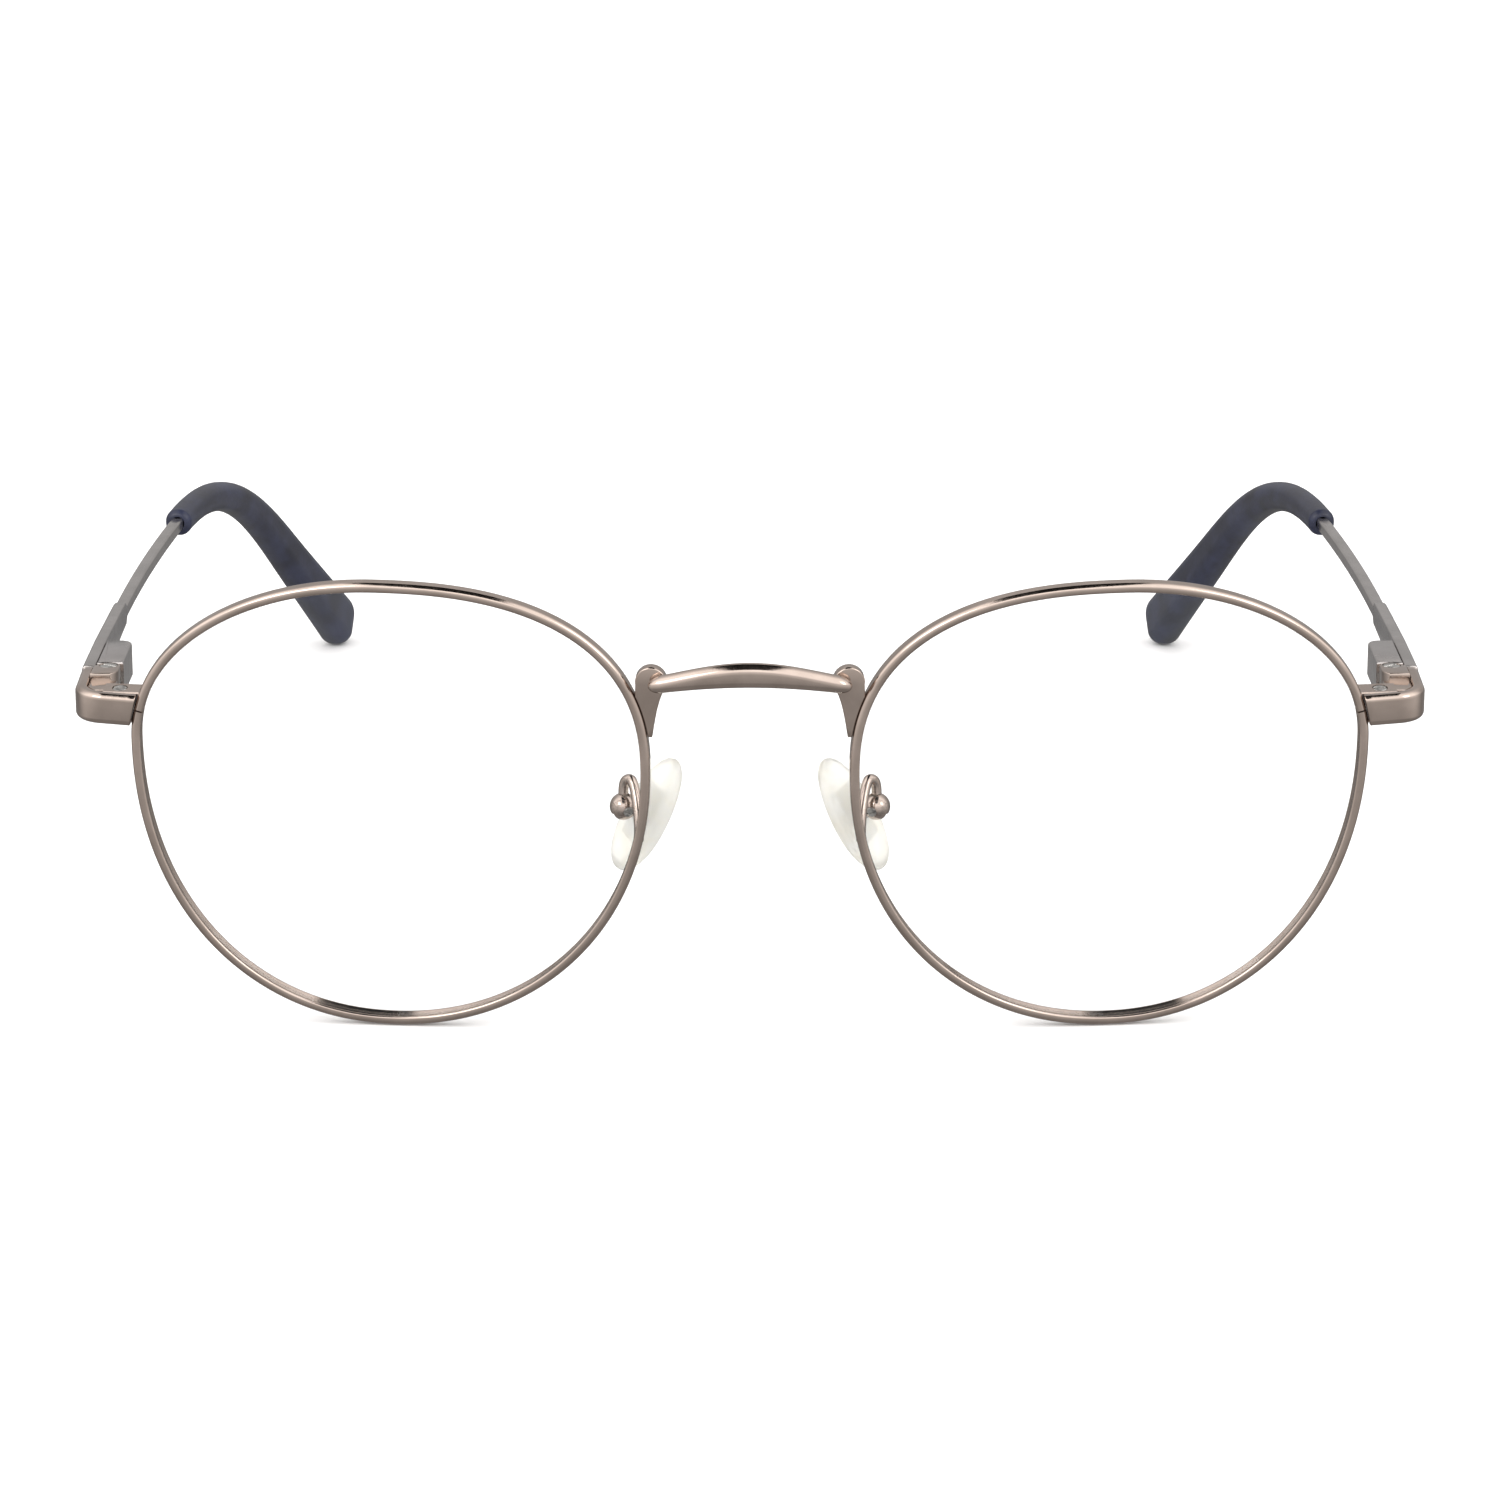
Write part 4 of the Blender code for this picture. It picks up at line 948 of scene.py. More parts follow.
@dataclass
class Lens:
    """Thin curved lens whose bevelled edge sits in the groove."""

    outline: LensOutline
    stance: Stance
    thickness: float = 1.0 * MM
    groove: float = 0.36 * MM
    gap: float = 0.05 * MM
    columns: int = 216

    def shape(self) -> Shape:
        """Rows run from the front's middle out to the bevel and back to the rear's middle.

        Returns:
            The closed shape in the lens frame.
        """
        points, normals = self.outline.along(np.arange(self.columns) / self.columns)
        inset = points - normals * (self.groove + 1.4 * self.gap)
        bevel = points - normals * self.gap
        shares = np.array([0.015, 0.15, 0.3, 0.45, 0.6, 0.72, 0.82, 0.9, 0.96, 1.0])

        def face(share: float, offset: float) -> Array:
            """One row of a face, parallel to the base curve."""
            x, z = (inset * share).T
            return np.column_stack([x, self.outline.sag(x, z) + offset, z])

        front = [face(share, -self.thickness / 2) for share in shares]
        edge = np.column_stack([bevel[:, 0], self.outline.sag(*points.T), bevel[:, 1]])
        rear = [face(share, self.thickness / 2) for share in shares[::-1]]
        return grid_shape(np.stack([*front, edge, *rear]))

    def build(self, side: Side) -> None:
        """Make one side's lens."""
        shape = self.stance.world(self.shape(), side, *self.outline.seat())
        Piece("clear_lens", "lens", "lens_clear", ClearLens(), 20.0).put(side, shape)


# ---------------------------------------------------------------- end pieces


@dataclass
class EndPiece:
    """L-shaped lug from the rim round to the temple, with the screw that closes the rim."""

    rim: Rim
    stance: Stance
    rise: float = 9.15 * MM
    height: float = 3.2 * MM
    bend: float = 3.0 * MM
    proud: float = 0.05 * MM
    lift: float = 0.7 * MM
    inner_round: float = 0.15 * MM
    outer_round: float = 0.62 * MM
    block_width: float = 3.0 * MM
    block_depth: float = 2.2 * MM
    shank: float = 0.45 * MM
    head: float = 0.7 * MM
    head_height: float = 0.4 * MM

    def plate_depth(self) -> float:
        """Depth in the lens frame of the middle of the front plate."""
        return -self.rim.depth / 2 - self.proud + self.stance.lug_thickness / 2

    def start(self) -> Array:
        """Where the plate's middle line meets the rim.

        Returns:
            The point in the side frame.
        """
        turn, place = self.rim.outline.seat()
        out = self.rim.outer(self.rise, False) + self.stance.seat_gap
        return turn @ np.array([out, self.plate_depth(), self.rise]) + place

    def path(self) -> tuple[Array, Array]:
        """Middle line from above: out along the front, round the bend and back.

        Returns:
            Its points as x and y, and its heading at each.
        """
        start, wrap = self.start(), self.rim.outline.wrap
        radius = self.bend - self.stance.lug_thickness / 2
        centre = self.stance.front_width / 2 - self.bend
        run = (centre + radius * math.sin(wrap) - start[0]) / math.cos(wrap)
        deep = start[1] + run * math.sin(wrap) + radius * math.cos(wrap)
        reach = np.linspace(0, 0.96, 8)[:, None] * run
        straight = start[:2] + reach * np.array([math.cos(wrap), math.sin(wrap)])
        angle = np.linspace(wrap, math.pi / 2, 22)
        arc = np.stack([centre + radius * np.sin(angle), deep - radius * np.cos(angle)], axis=1)
        end = self.stance.setback - self.stance.butt_gap / 2
        back = np.stack([np.full(6, centre + radius), np.linspace(deep, end, 7)[1:]], axis=1)
        heading = np.concatenate([np.full(8, wrap), angle, np.full(6, math.pi / 2)])
        return np.vstack([straight, arc, back]), heading

    def lug(self) -> Shape:
        """A rounded bar swept along the path, leaning with the front and upright at the back.

        Returns:
            The closed shape in the side frame, its first ring fitted to the rim's outer face.
        """
        path, heading = self.path()
        turn, place = self.rim.outline.seat()
        outline = self.rim.outline
        run = run_length(path)
        lean = outline.tilt * (1 - (heading - outline.wrap) / (math.pi / 2 - outline.wrap))
        across = np.stack([np.sin(heading), -np.cos(heading), 0 * heading], axis=1)
        up = np.stack([0 * lean, -np.sin(lean), np.cos(lean)], axis=1)
        centre = np.column_stack([path, self.start()[2] + self.lift * run / run[-1]])
        thin, half = self.stance.lug_thickness / 2, self.height / 2
        section = rounded_section(thin, half, self.inner_round, self.outer_round, 10)
        rings = swept(centre, across, up, [section] * len(centre))
        low, middle, high = (self.rim.outer(self.rise + d, False) for d in (-half, 0.0, half))
        bulge = middle - (low + high) / 2
        first = (rings[0] - place) @ turn
        first[:, 0] = low + (high - low) * (first[:, 2] - self.rise + half) / self.height
        first[:, 0] += bulge + self.stance.seat_gap
        rings[0] = first @ turn.T + place
        return grid_shape(soft_ends(rings, 0.1 * MM))

    def screw(self, side: Side) -> None:
        """Make the slotted screw that draws one side's two blocks together.

        Args:
            side: Which half.
        """
        turn, place = self.rim.outline.seat()
        gap, plate = self.stance.seat_gap, self.plate_depth() + self.stance.lug_thickness / 2
        across = self.rim.outer(self.rise, False) + gap + self.block_width / 2
        depth = plate + gap + self.block_depth / 2
        bottom, top = self.rise - self.height / 2 + 0.2 * MM, self.rise + self.height / 2
        shape = Screw(self.shank, self.head, self.head_height, 0.3 * MM).shape(bottom, top)
        spot = turn @ np.array([across, depth, 0.0]) + place
        shape = self.stance.world(shape, side, turn, spot)
        Piece("rim_screw", "closing_screw", "steel", TurnedSteel()).put(side, shape)

    def build(self, side: Side) -> None:
        """Make one side's lug and screw, and dress its two closing blocks.

        Args:
            side: Which half.
        """
        shape = self.stance.world(self.lug(), side)
        Piece("lug", "end_piece", "gunmetal", GUNMETAL, 45.0).put(side, shape)
        self.screw(side)
        dress(side, ("closing_block_upper", "closing_block_lower"), BLOCK_METAL)


@dataclass
class Screw:
    """A turned screw with a rounded cheese head and one slot."""

    shank: float
    head: float
    head_height: float
    slot: float

    def shape(self, bottom: float, top: float) -> Shape:
        """Shank and rounded head turned about z, its crown sunk where the slot crosses it.

        Args:
            bottom: Height of the shank's point.
            top: Height of the head's crown.

        Returns:
            The closed shape.
        """
        neck, r = top - self.head_height, 0.3 * self.head_height
        turn = np.radians(np.linspace(0, 90, 5))
        profile = [(0.6 * self.shank, bottom), (self.shank, bottom + 0.4 * self.shank)]
        wall = 0.03 * MM
        profile += [(self.shank, neck), (self.head - wall, neck), (self.head, neck + wall)]
        profile += [(self.head - r + r * math.cos(a), top - r + r * math.sin(a)) for a in turn]
        crown = np.linspace(self.head - r, 0.04 * MM, 14)[1:]
        profile += [(float(radius), top) for radius in crown]
        shape = turned(profile, 72)
        x, y, z = shape.points.T
        inside = 1 - smooth_step((np.abs(y) - self.slot / 2 + wall) / wall)
        on_crown = z > top - 1.2 * r
        z = np.where(on_crown, z - inside * 0.5 * self.head_height, z)
        return Shape(np.stack([x, y, z], axis=1), shape.faces, shape.corners)


# ---------------------------------------------------------------- bridge


@dataclass
class Bridge:
    """Arched bar brazed over two lobed plates on the rims."""

    rim: Rim
    stance: Stance
    rise: float = 15.1 * MM
    arch: float = 1.3 * MM
    span: float = 19.4 * MM
    middle_height: float = 2.4 * MM
    end_height: float = 1.6 * MM
    depth: float = 1.7 * MM
    forward: float = 0.5 * MM
    lobe_rise: float = 13.75 * MM
    lobe_radius: float = 1.5 * MM
    lobe_clear: float = 0.85 * MM
    foot_rise: float = 8.05 * MM
    foot_width: float = 0.4 * MM
    plate: float = 1.15 * MM
    knee: float = 0.07

    def plate_front(self) -> float:
        """Depth in the lens frame of the plates' front face."""
        return self.rim.depth / 2 - self.plate

    def bar(self) -> Shape:
        """A rounded bar over the gap, whose height and lift follow powers of sin(pi share).

        Returns:
            The closed shape in the side frame.
        """
        outline = self.rim.outline
        turn, place = outline.seat()
        inward = outline.width / 2 + outline.bridge / 2 - self.span / 2
        depth = self.plate_front() - self.stance.seat_gap
        spot = np.array([-inward, depth, self.rise - self.arch])
        seat = turn @ spot + place
        knee = self.knee
        ends = knee * (1 - np.cos(np.radians(np.linspace(8, 90, 10))))
        share = np.concatenate([ends, np.linspace(0.1, 0.9, 61), 1 - ends[::-1]])
        closeness = np.minimum(share, 1 - share)
        taper = np.where(closeness < knee, np.sqrt(1 - (1 - closeness / knee).clip(0) ** 2), 1.0)
        wave = np.sin(math.pi * share)
        middle, lift = wave**1.5, wave**1.2 * self.arch
        height = self.end_height + (self.middle_height - self.end_height) * middle
        up = turn_x(outline.tilt) @ np.array([0.0, 0.0, 1.0])
        back = turn_x(outline.tilt) @ np.array([0.0, 1.0, 0.0])
        ahead = self.depth / 2 + self.forward * middle
        centre = np.column_stack([(share - 0.5) * self.span, np.full((len(share), 2), seat[1:])])
        centre = centre + up * lift[:, None] - back * ahead[:, None]
        corner = 0.46 * np.minimum(height, self.depth) * taper
        sections = [
            rounded_section(tall / 2 * scale, self.depth / 2 * scale, limit, limit, 9)
            for tall, scale, limit in zip(height, taper, corner)
        ]
        ways = (np.broadcast_to(way, centre.shape) for way in (up, back))
        return grid_shape(swept(centre, *ways, sections))

    def plate_outline(self) -> Array:
        """Outline of a plate: foot, up the rim's side, round the lobe and back down.

        Returns:
            Points of x and z in the lens frame.
        """
        rim, gap = self.rim, self.stance.seat_gap
        lobe = rim.outer(self.lobe_rise, True) - self.lobe_clear - self.lobe_radius
        foot = rim.outer(self.foot_rise, True) - gap
        contact = self.lobe_rise - self.lobe_radius
        rises = np.linspace(self.foot_rise, contact, 14)
        side = [(rim.outer(float(rise), True) - gap, rise) for rise in rises]
        angle = np.radians(np.linspace(-10, 205, 34))
        spokes = self.lobe_radius * np.column_stack([np.cos(angle), np.sin(angle)])
        round_top = np.array([lobe, self.lobe_rise]) + spokes
        waist = np.array([foot - 0.62 * self.lobe_radius, contact - 0.4 * MM])
        start = np.array([foot - self.foot_width, self.foot_rise])
        t = np.linspace(0, 1, 9)[1:, None]
        curve = (1 - t) ** 2 * round_top[-1] + 2 * t * (1 - t) * waist + t**2 * start
        return np.vstack([side, round_top, curve])

    def build(self) -> None:
        """Make the bar and both plates."""
        shape = self.stance.world(self.bar(), Side.RIGHT)
        Piece("bridge_arch", "bridge_bar", "gunmetal", GUNMETAL, 50.0).put(None, shape)
        turn, place = self.rim.outline.seat()
        front = self.plate_front()
        flat = extruded(self.plate_outline(), -front - self.plate, -front, 0.12 * MM)
        upright = flat.moved(turn_x(math.pi / 2))
        lobe = Piece("bridge_lobe", "bridge_plate", "gunmetal", GUNMETAL, 45.0)
        for side in Side:
            lobe.put(side, self.stance.world(upright, side, turn, place))


# ---------------------------------------------------------------- nose pads


@dataclass
class NosePad:
    """Silicone pad on its plastic insert, held in a ball box on a bent wire arm."""

    rim: Rim
    stance: Stance
    ball: float = 1.35 * MM
    frontal: float = math.radians(28.0)
    splay: float = math.radians(28.0)
    length: float = 12.4 * MM
    width: float = 6.4 * MM
    thickness: float = 2.2 * MM
    clearance: float = 0.4 * MM
    screw_radius: float = 0.3 * MM
    screw_head: float = 0.5 * MM
    running: float = 0.04 * MM
    stem: float = 0.8 * MM
    stem_height: float = 1.5 * MM
    arm_radius: float = 0.5 * MM
    foot_drop: float = 3.2 * MM
    apex_rise: float = 1.45 * MM

    def seat(self) -> tuple[Array, Array]:
        """Rotation and place of the pad in the side frame."""
        return turn_y(-self.frontal) @ turn_z(-self.splay), np.array(self.stance.pad_pivot)

    def pad(self) -> Shape:
        """Rows run from the back's middle, over the rim, to the bearing face's middle.

        With p from 0 to 1 over that run, the outline's scale is sin(pi p)^0.46 and the depth
        goes as cos(pi p) to the power 0.85, so the faces are flat and the rim is full. A low
        lip stands round the bearing face.

        Returns:
            The closed shape in the pad's frame.
        """
        p = np.linspace(0.012, 0.988, 41)
        scale = np.sin(math.pi * p) ** 0.46
        swing = np.cos(math.pi * p)
        back = -(self.ball + self.clearance)
        depth = back - self.thickness / 2 * (1 - np.sign(swing) * np.abs(swing) ** 0.85)
        angle = np.linspace(0, 2 * math.pi, 72, endpoint=False)
        taper = 1 - 0.10 * np.sin(angle)
        across = 0.5 * self.width * taper * np.cos(angle)
        tall = 0.5 * self.length * np.sin(angle)
        lip = 0.10 * MM * np.exp(-(((scale - 0.86) / 0.07) ** 2)) * (swing < 0)
        flat = np.outer(depth - lip, np.ones(len(angle)))
        rings = np.stack([flat, np.outer(scale, across), np.outer(scale**0.9, tall)], axis=-1)
        return grid_shape(rings[::-1])

    def arm_line(self) -> tuple[Array, Array]:
        """Middle line of the arm: two cubic Bezier arcs from rim to box.

        Returns:
            Its points and unit directions in the side frame.
        """
        outline = self.rim.outline
        turn, place = outline.seat()
        wall, groove = self.rim.wall, self.rim.groove
        middle = (wall - groove) - wall / 2
        along = self.rim.outer(-self.foot_drop, True) + wall / 2
        rise = np.array(-self.foot_drop)
        deep = float(outline.sag(np.array(along + middle), rise)) + self.rim.depth / 2
        foot = turn @ np.array([along, deep + self.stance.seat_gap, -self.foot_drop]) + place
        centre = self.seat()[1]
        end = centre + np.array([0, 0, self.ball * 0.93 + self.stance.seat_gap])
        apex = np.array([0.45 * foot[0] + 0.55 * end[0], end[1] - 0.6 * MM, self.apex_rise])
        back = turn @ np.array([0.0, 1.0, 0.0])
        first = [foot, foot + back * 2.2 * MM, apex - np.array([0.55, 0.5, -0.05]) * MM, apex]
        onward, above = np.array([0.5, 0.4, 0.0]) * MM, np.array([0, 0, 1.1]) * MM
        second = [apex, apex + onward, end + above, end]
        t = np.linspace(0, 1, 25)[:, None]
        points, headings = [], []
        for a, b, c, d in (first, second):
            u = 1 - t
            points.append(u**3 * a + 3 * u * u * t * b + 3 * u * t * t * c + t**3 * d)
            headings.append(3 * (u * u * (b - a) + 2 * u * t * (c - b) + t * t * (d - c)))
        line = np.vstack([points[0], points[1][1:]])
        heading = np.vstack([headings[0], headings[1][1:]])
        return line, heading / np.linalg.norm(heading, axis=1, keepdims=True)

    def arm(self) -> Shape:
        """A circle carried along the arm's line.

        Returns:
            The closed shape in the side frame.
        """
        line, heading = self.arm_line()
        side = np.cross(heading, np.array([1.0, 0.15, 0.0]))
        side /= np.linalg.norm(side, axis=1, keepdims=True)
        other = np.cross(heading, side)
        angle = np.linspace(0, 2 * math.pi, 24, endpoint=False)
        circle = self.arm_radius * np.column_stack([np.cos(angle), np.sin(angle)])
        return grid_shape(swept(line, side, other, [circle] * len(line)))

    def box(self, side: Side) -> bpy.types.Mesh:
        """A ball with a slit for the insert's stem and a countersunk hole for the screw.

        Args:
            side: Which half.

        Returns:
            The finished mesh data.
        """
        turn = np.radians(np.linspace(-88.5, 88.5, 33))
        ball = turned([(self.ball * math.cos(a), self.ball * math.sin(a)) for a in turn], 48)
        slit = self.stem / 2 + self.stance.seat_gap
        cut = block((-3 * MM, -slit, -3 * MM), (self.stem_height / 2 + 0.1 * MM, slit, 3 * MM))
        bore, sink = self.screw_radius + self.running, self.screw_head + self.running
        drills = [
            turned([(bore, -2 * MM), (bore, 2 * MM)]),
            turned([(sink, -2 * MM), (sink, -self.ball + 0.35 * MM)]),
        ]
        shapes = [ball, cut, *(drill.moved(turn_x(-math.pi / 2)) for drill in drills)]
        placed = [self.stance.world(shape, side, *self.seat()) for shape in shapes]
        return carved(side.node("pad_ball"), placed[0], placed[1:])

    def build(self, side: Side) -> None:
        """Make one side's pad, arm, box and screw, and dress its insert.

        Args:
            side: Which half.
        """
        turn, place = self.seat()
        shape = self.stance.world(self.pad(), side, turn, place)
        Piece("silicone_pad", "nose_pad", "silicone", SILICONE, 60.0, "pad").put(side, shape)
        shape = self.stance.world(self.arm(), side)
        Piece("pad_wire", "pad_arm", "gunmetal_hinge", HINGE_METAL, 60.0).put(side, shape)
        Piece("pad_ball", "pad_box", "gunmetal_hinge", HINGE_METAL).put(side, self.box(side))
        slotted = Screw(self.screw_radius, self.screw_head, 0.3 * MM, 0.18 * MM)
        screw = slotted.shape(-self.ball + 0.1 * MM, self.ball + 0.02 * MM)
        shape = self.stance.world(screw, side, turn @ turn_x(math.pi / 2), place)
        Piece("pad_pin", "pad_screw", "steel", TurnedSteel()).put(side, shape)
        dress(side, ("pad_insert",), POLYCARBONATE)


# ---------------------------------------------------------------- hinges


@dataclass
class SpringHinge:
    """Fork on the lug, screw, and the housing whose spring holds the temple open."""

    stance: Stance
    knuckle: float = 1.15 * MM
    height: float = 3.5 * MM
    reach: float = 3.0 * MM
    tongue: float = 1.1 * MM
    pin: float = 0.4 * MM
    head: float = 0.85 * MM
    head_height: float = 0.35 * MM
    running: float = 0.04 * MM
    housing_height: float = 3.4 * MM
    housing_length: float = 8.6 * MM
    wall: float = 0.35 * MM
    end_wall: float = 0.6 * MM
    corner: float = 1.2 * MM
    foot_step: float = 0.75 * MM

    def fork(self, side: Side) -> bpy.types.Mesh:
        """Two leaves round the pin, joined ahead of the tongue, and the foot brazed to the lug.

        Args:
            side: Which half.

        Returns:
            The finished mesh data.
        """
        r, half, stance = self.knuckle, self.height / 2, self.stance
        face = stance.front_width / 2 - stance.lug_thickness - stance.hinge[0] - stance.seat_gap
        angle = np.radians(np.linspace(20, 180, 26))
        reach = self.reach
        lug_side = [(face, -reach), (face, -0.5 * reach), (face, -stance.butt_gap)]
        knuckle = r * np.column_stack([np.cos(angle), np.sin(angle)])
        front = [(-r, -0.6 * reach), (-0.85 * r, -0.82 * reach), (-0.45 * r, -reach)]
        body = extruded(np.vstack([lug_side, knuckle, front]), -half, half, 0.14 * MM)
        out, inside = face / MM, -r / MM
        foot_mm = [(out, -5.2), (out, -2.9), (inside, -2.9), (inside, -4.5)]
        foot_mm += [(-0.45, -4.6), (-0.45, -6.3), (0.6, -6.3)]
        foot = extruded(np.array(foot_mm) * MM, -half, half - self.foot_step, 0.1 * MM)
        gap = self.tongue / 2 + stance.seat_gap
        slot = block((-4 * MM, -(r + 0.15 * MM), -gap), (4 * MM, 4 * MM, gap))
        bore, wide = self.pin + self.running, self.head + self.running
        hole = turned([(bore, -half - MM), (bore, half + MM)])
        sink = turned([(wide, half - self.head_height - stance.seat_gap), (wide, half + MM)])
        shapes = (body, slot, hole, sink, foot)
        placed = [stance.world(shape, side, offset=stance.hinge) for shape in shapes]
        return carved(side.node("hinge_fork"), placed[0], placed[1:4], placed[4:])

    def housing(self, side: Side) -> bpy.types.Mesh:
        """A box with a rounded inner corner at its back, bored from its front.

        Args:
            side: Which half.

        Returns:
            The finished mesh data.
        """
        stance, length = self.stance, self.housing_length
        half, front = stance.housing_width / 2, self.knuckle + 0.1 * MM
        rear, c, small = front + length, self.corner, 0.2 * MM
        angle = np.radians(np.linspace(90, 180, 14))
        ease = np.radians(np.linspace(0, 90, 6))
        outer = [half - small + small * np.cos(ease), rear - small + small * np.sin(ease)]
        inner = [-half + c + c * np.cos(angle), rear - c + c * np.sin(angle)]
        mouth = [(-half, front), (-0.3 * half, front), (0.4 * half, front), (half, front)]
        mouth.append((half, front + 0.4 * length))
        side_point = [(-half, front + 0.5 * length)]
        outline = [mouth, np.transpose(outer), np.transpose(inner), side_point]
        tall, bore = self.housing_height / 2, half - self.wall
        body = extruded(np.vstack(outline), -tall, tall, 0.24 * MM)
        cut = turned([(bore, front - MM), (bore, rear - self.end_wall)], 48)
        shapes = (body, cut.moved(turn_x(-math.pi / 2)))
        placed = [stance.world(shape, side, offset=stance.hinge) for shape in shapes]
        return carved(side.node("spring_case"), placed[0], placed[1:])

    def build(self, side: Side) -> None:
        """Make one side's fork, screw and housing, and dress what is inside.

        Args:
            side: Which half.
        """
        fork = Piece("hinge_fork", "hinge_knuckle", "gunmetal_hinge", HINGE_METAL)
        fork.put(side, self.fork(side))
        half = self.height / 2
        screw = Screw(self.pin, self.head, self.head_height, 0.26 * MM).shape(-half, half)
        shape = self.stance.world(screw, side, turn_z(math.radians(35.0)), self.stance.hinge)
        Piece("hinge_pin", "hinge_screw", "steel", TurnedSteel(), body="pin").put(side, shape)
        case = Piece("spring_case", "spring_housing", "gunmetal_hinge", CASE_METAL, body="temple")
        case.put(side, self.housing(side))
        dress(side, ("spring_carriage", "spring_stop", "rod_nut", "coil_spring"), BARE_STEEL)


# ---------------------------------------------------------------- temples


@dataclass
class Temple:
    """Temple bar, its slim wire and the acetate tip, along one bowed and bent path."""

    stance: Stance
    length: float = 150.0 * MM
    height: float = 3.3 * MM
    shoulder_height: float = 2.4 * MM
    full_length: float = 10.5 * MM
    shoulder: float = 26.5 * MM
    wire: float = 1.3 * MM
    core: float = 1.1 * MM
    step: float = 1.2 * MM
    inner_round: float = 0.2 * MM
    outer_round: float = 0.42 * MM
    wire_round: float = 0.3 * MM
    bow_start: float = 22.0 * MM
    bow_length: float = 106.0 * MM
    bow_angle: float = math.radians(11.5)
    bend_start: float = 61.9 * MM
    bend_length: float = 61.4 * MM
    bend_drop: float = math.radians(32.7)
    tip_start: float = 66.0 * MM
    mouth_thickness: float = 2.85 * MM
    mouth_width: float = 2.9 * MM
    end_thickness: float = 4.1 * MM
    end_width: float = 6.4 * MM
    flare: float = 1.6
    solid_end: float = 7.0 * MM
    mouth_round: float = 0.72 * MM

    def heading(self, lengths: Array) -> Array:
        """Unit directions: yaw grows evenly over the bow, pitch by a smooth step in the bend.

        Args:
            lengths: Distances along the temple.

        Returns:
            One direction for each.
        """
        bow = self.bow_angle * np.clip((lengths - self.bow_start) / self.bow_length, 0, 1)
        down = self.bend_drop * smooth_step((lengths - self.bend_start) / self.bend_length)
        return np.stack(
            [-np.sin(bow) * np.cos(down), np.cos(bow) * np.cos(down), -np.sin(down)], axis=1
        )

    def frames(self, lengths: Array) -> tuple[Array, Array, Array]:
        """Places along the temple, by summing the directions.

        Args:
            lengths: Distances along the temple.

        Returns:
            Points, and unit vectors sideways and upright, in the hinge's frame.
        """
        dense = np.linspace(0.0, self.length, 1161)
        steps = self.heading(dense)
        middle = (steps[1:] + steps[:-1]) / 2 * (dense[1] - dense[0])
        stance = self.stance
        across = stance.temple_thickness / 2 + stance.seat_gap + stance.housing_width / 2
        start = np.array([across, stance.butt_gap / 2, 0.0])
        line = start + np.vstack([np.zeros(3), np.cumsum(middle, axis=0)])
        at = np.stack([np.interp(lengths, dense, line[:, k]) for k in range(3)], axis=1)
        forward = self.heading(lengths)
        side = np.cross(forward, np.array([0.0, 0.0, 1.0]))
        side /= np.linalg.norm(side, axis=1, keepdims=True)
        return at, side, np.cross(side, forward)

    def bar(self) -> Shape:
        """A rounded bar that narrows to a shoulder, steps down to the wire and enters the tip.

        Returns:
            The closed shape in the hinge's frame.
        """
        thick, shoulder = self.stance.temple_thickness, self.shoulder
        lengths = np.concatenate(
            [
                np.linspace(0, self.full_length, 12),
                np.linspace(self.full_length, shoulder, 22)[1:],
                shoulder + np.linspace(0, self.step, 9)[1:],
                np.linspace(shoulder + 1.4 * MM, self.tip_start - 0.4 * MM, 44),
                np.linspace(self.tip_start + 0.4 * MM, self.length - self.solid_end, 50),
            ]
        )
        share = np.clip((lengths - self.full_length) / (shoulder - self.full_length), 0, 1)
        down = smooth_step((lengths - shoulder) / self.step)
        slim = np.where(lengths < self.tip_start, self.wire, self.core)
        sizes = (
            blend(thick, slim, down) / 2,
            blend(blend(self.height, self.shoulder_height, share), slim, down) / 2,
            blend(self.inner_round, self.wire_round, down),
            blend(self.outer_round, self.wire_round, down),
        )
        sections = [rounded_section(*size) for size in zip(*sizes)]
        rings = swept(*self.frames(lengths), sections)
        return grid_shape(soft_ends(rings[:, ::-1], 0.12 * MM))

    def tip_size(self, lengths: Array) -> tuple[Array, Array]:
        """Size of the tip, which flares as a power of the way along.

        Args:
            lengths: Distances along the temple.

        Returns:
            Thickness and width at each.
        """
        share = np.clip((lengths - self.tip_start) / (self.length - self.tip_start), 0, 1)
        share = share**self.flare
        thick = blend(self.mouth_thickness, self.end_thickness, share)
        return thick, blend(self.mouth_width, self.end_width, share)

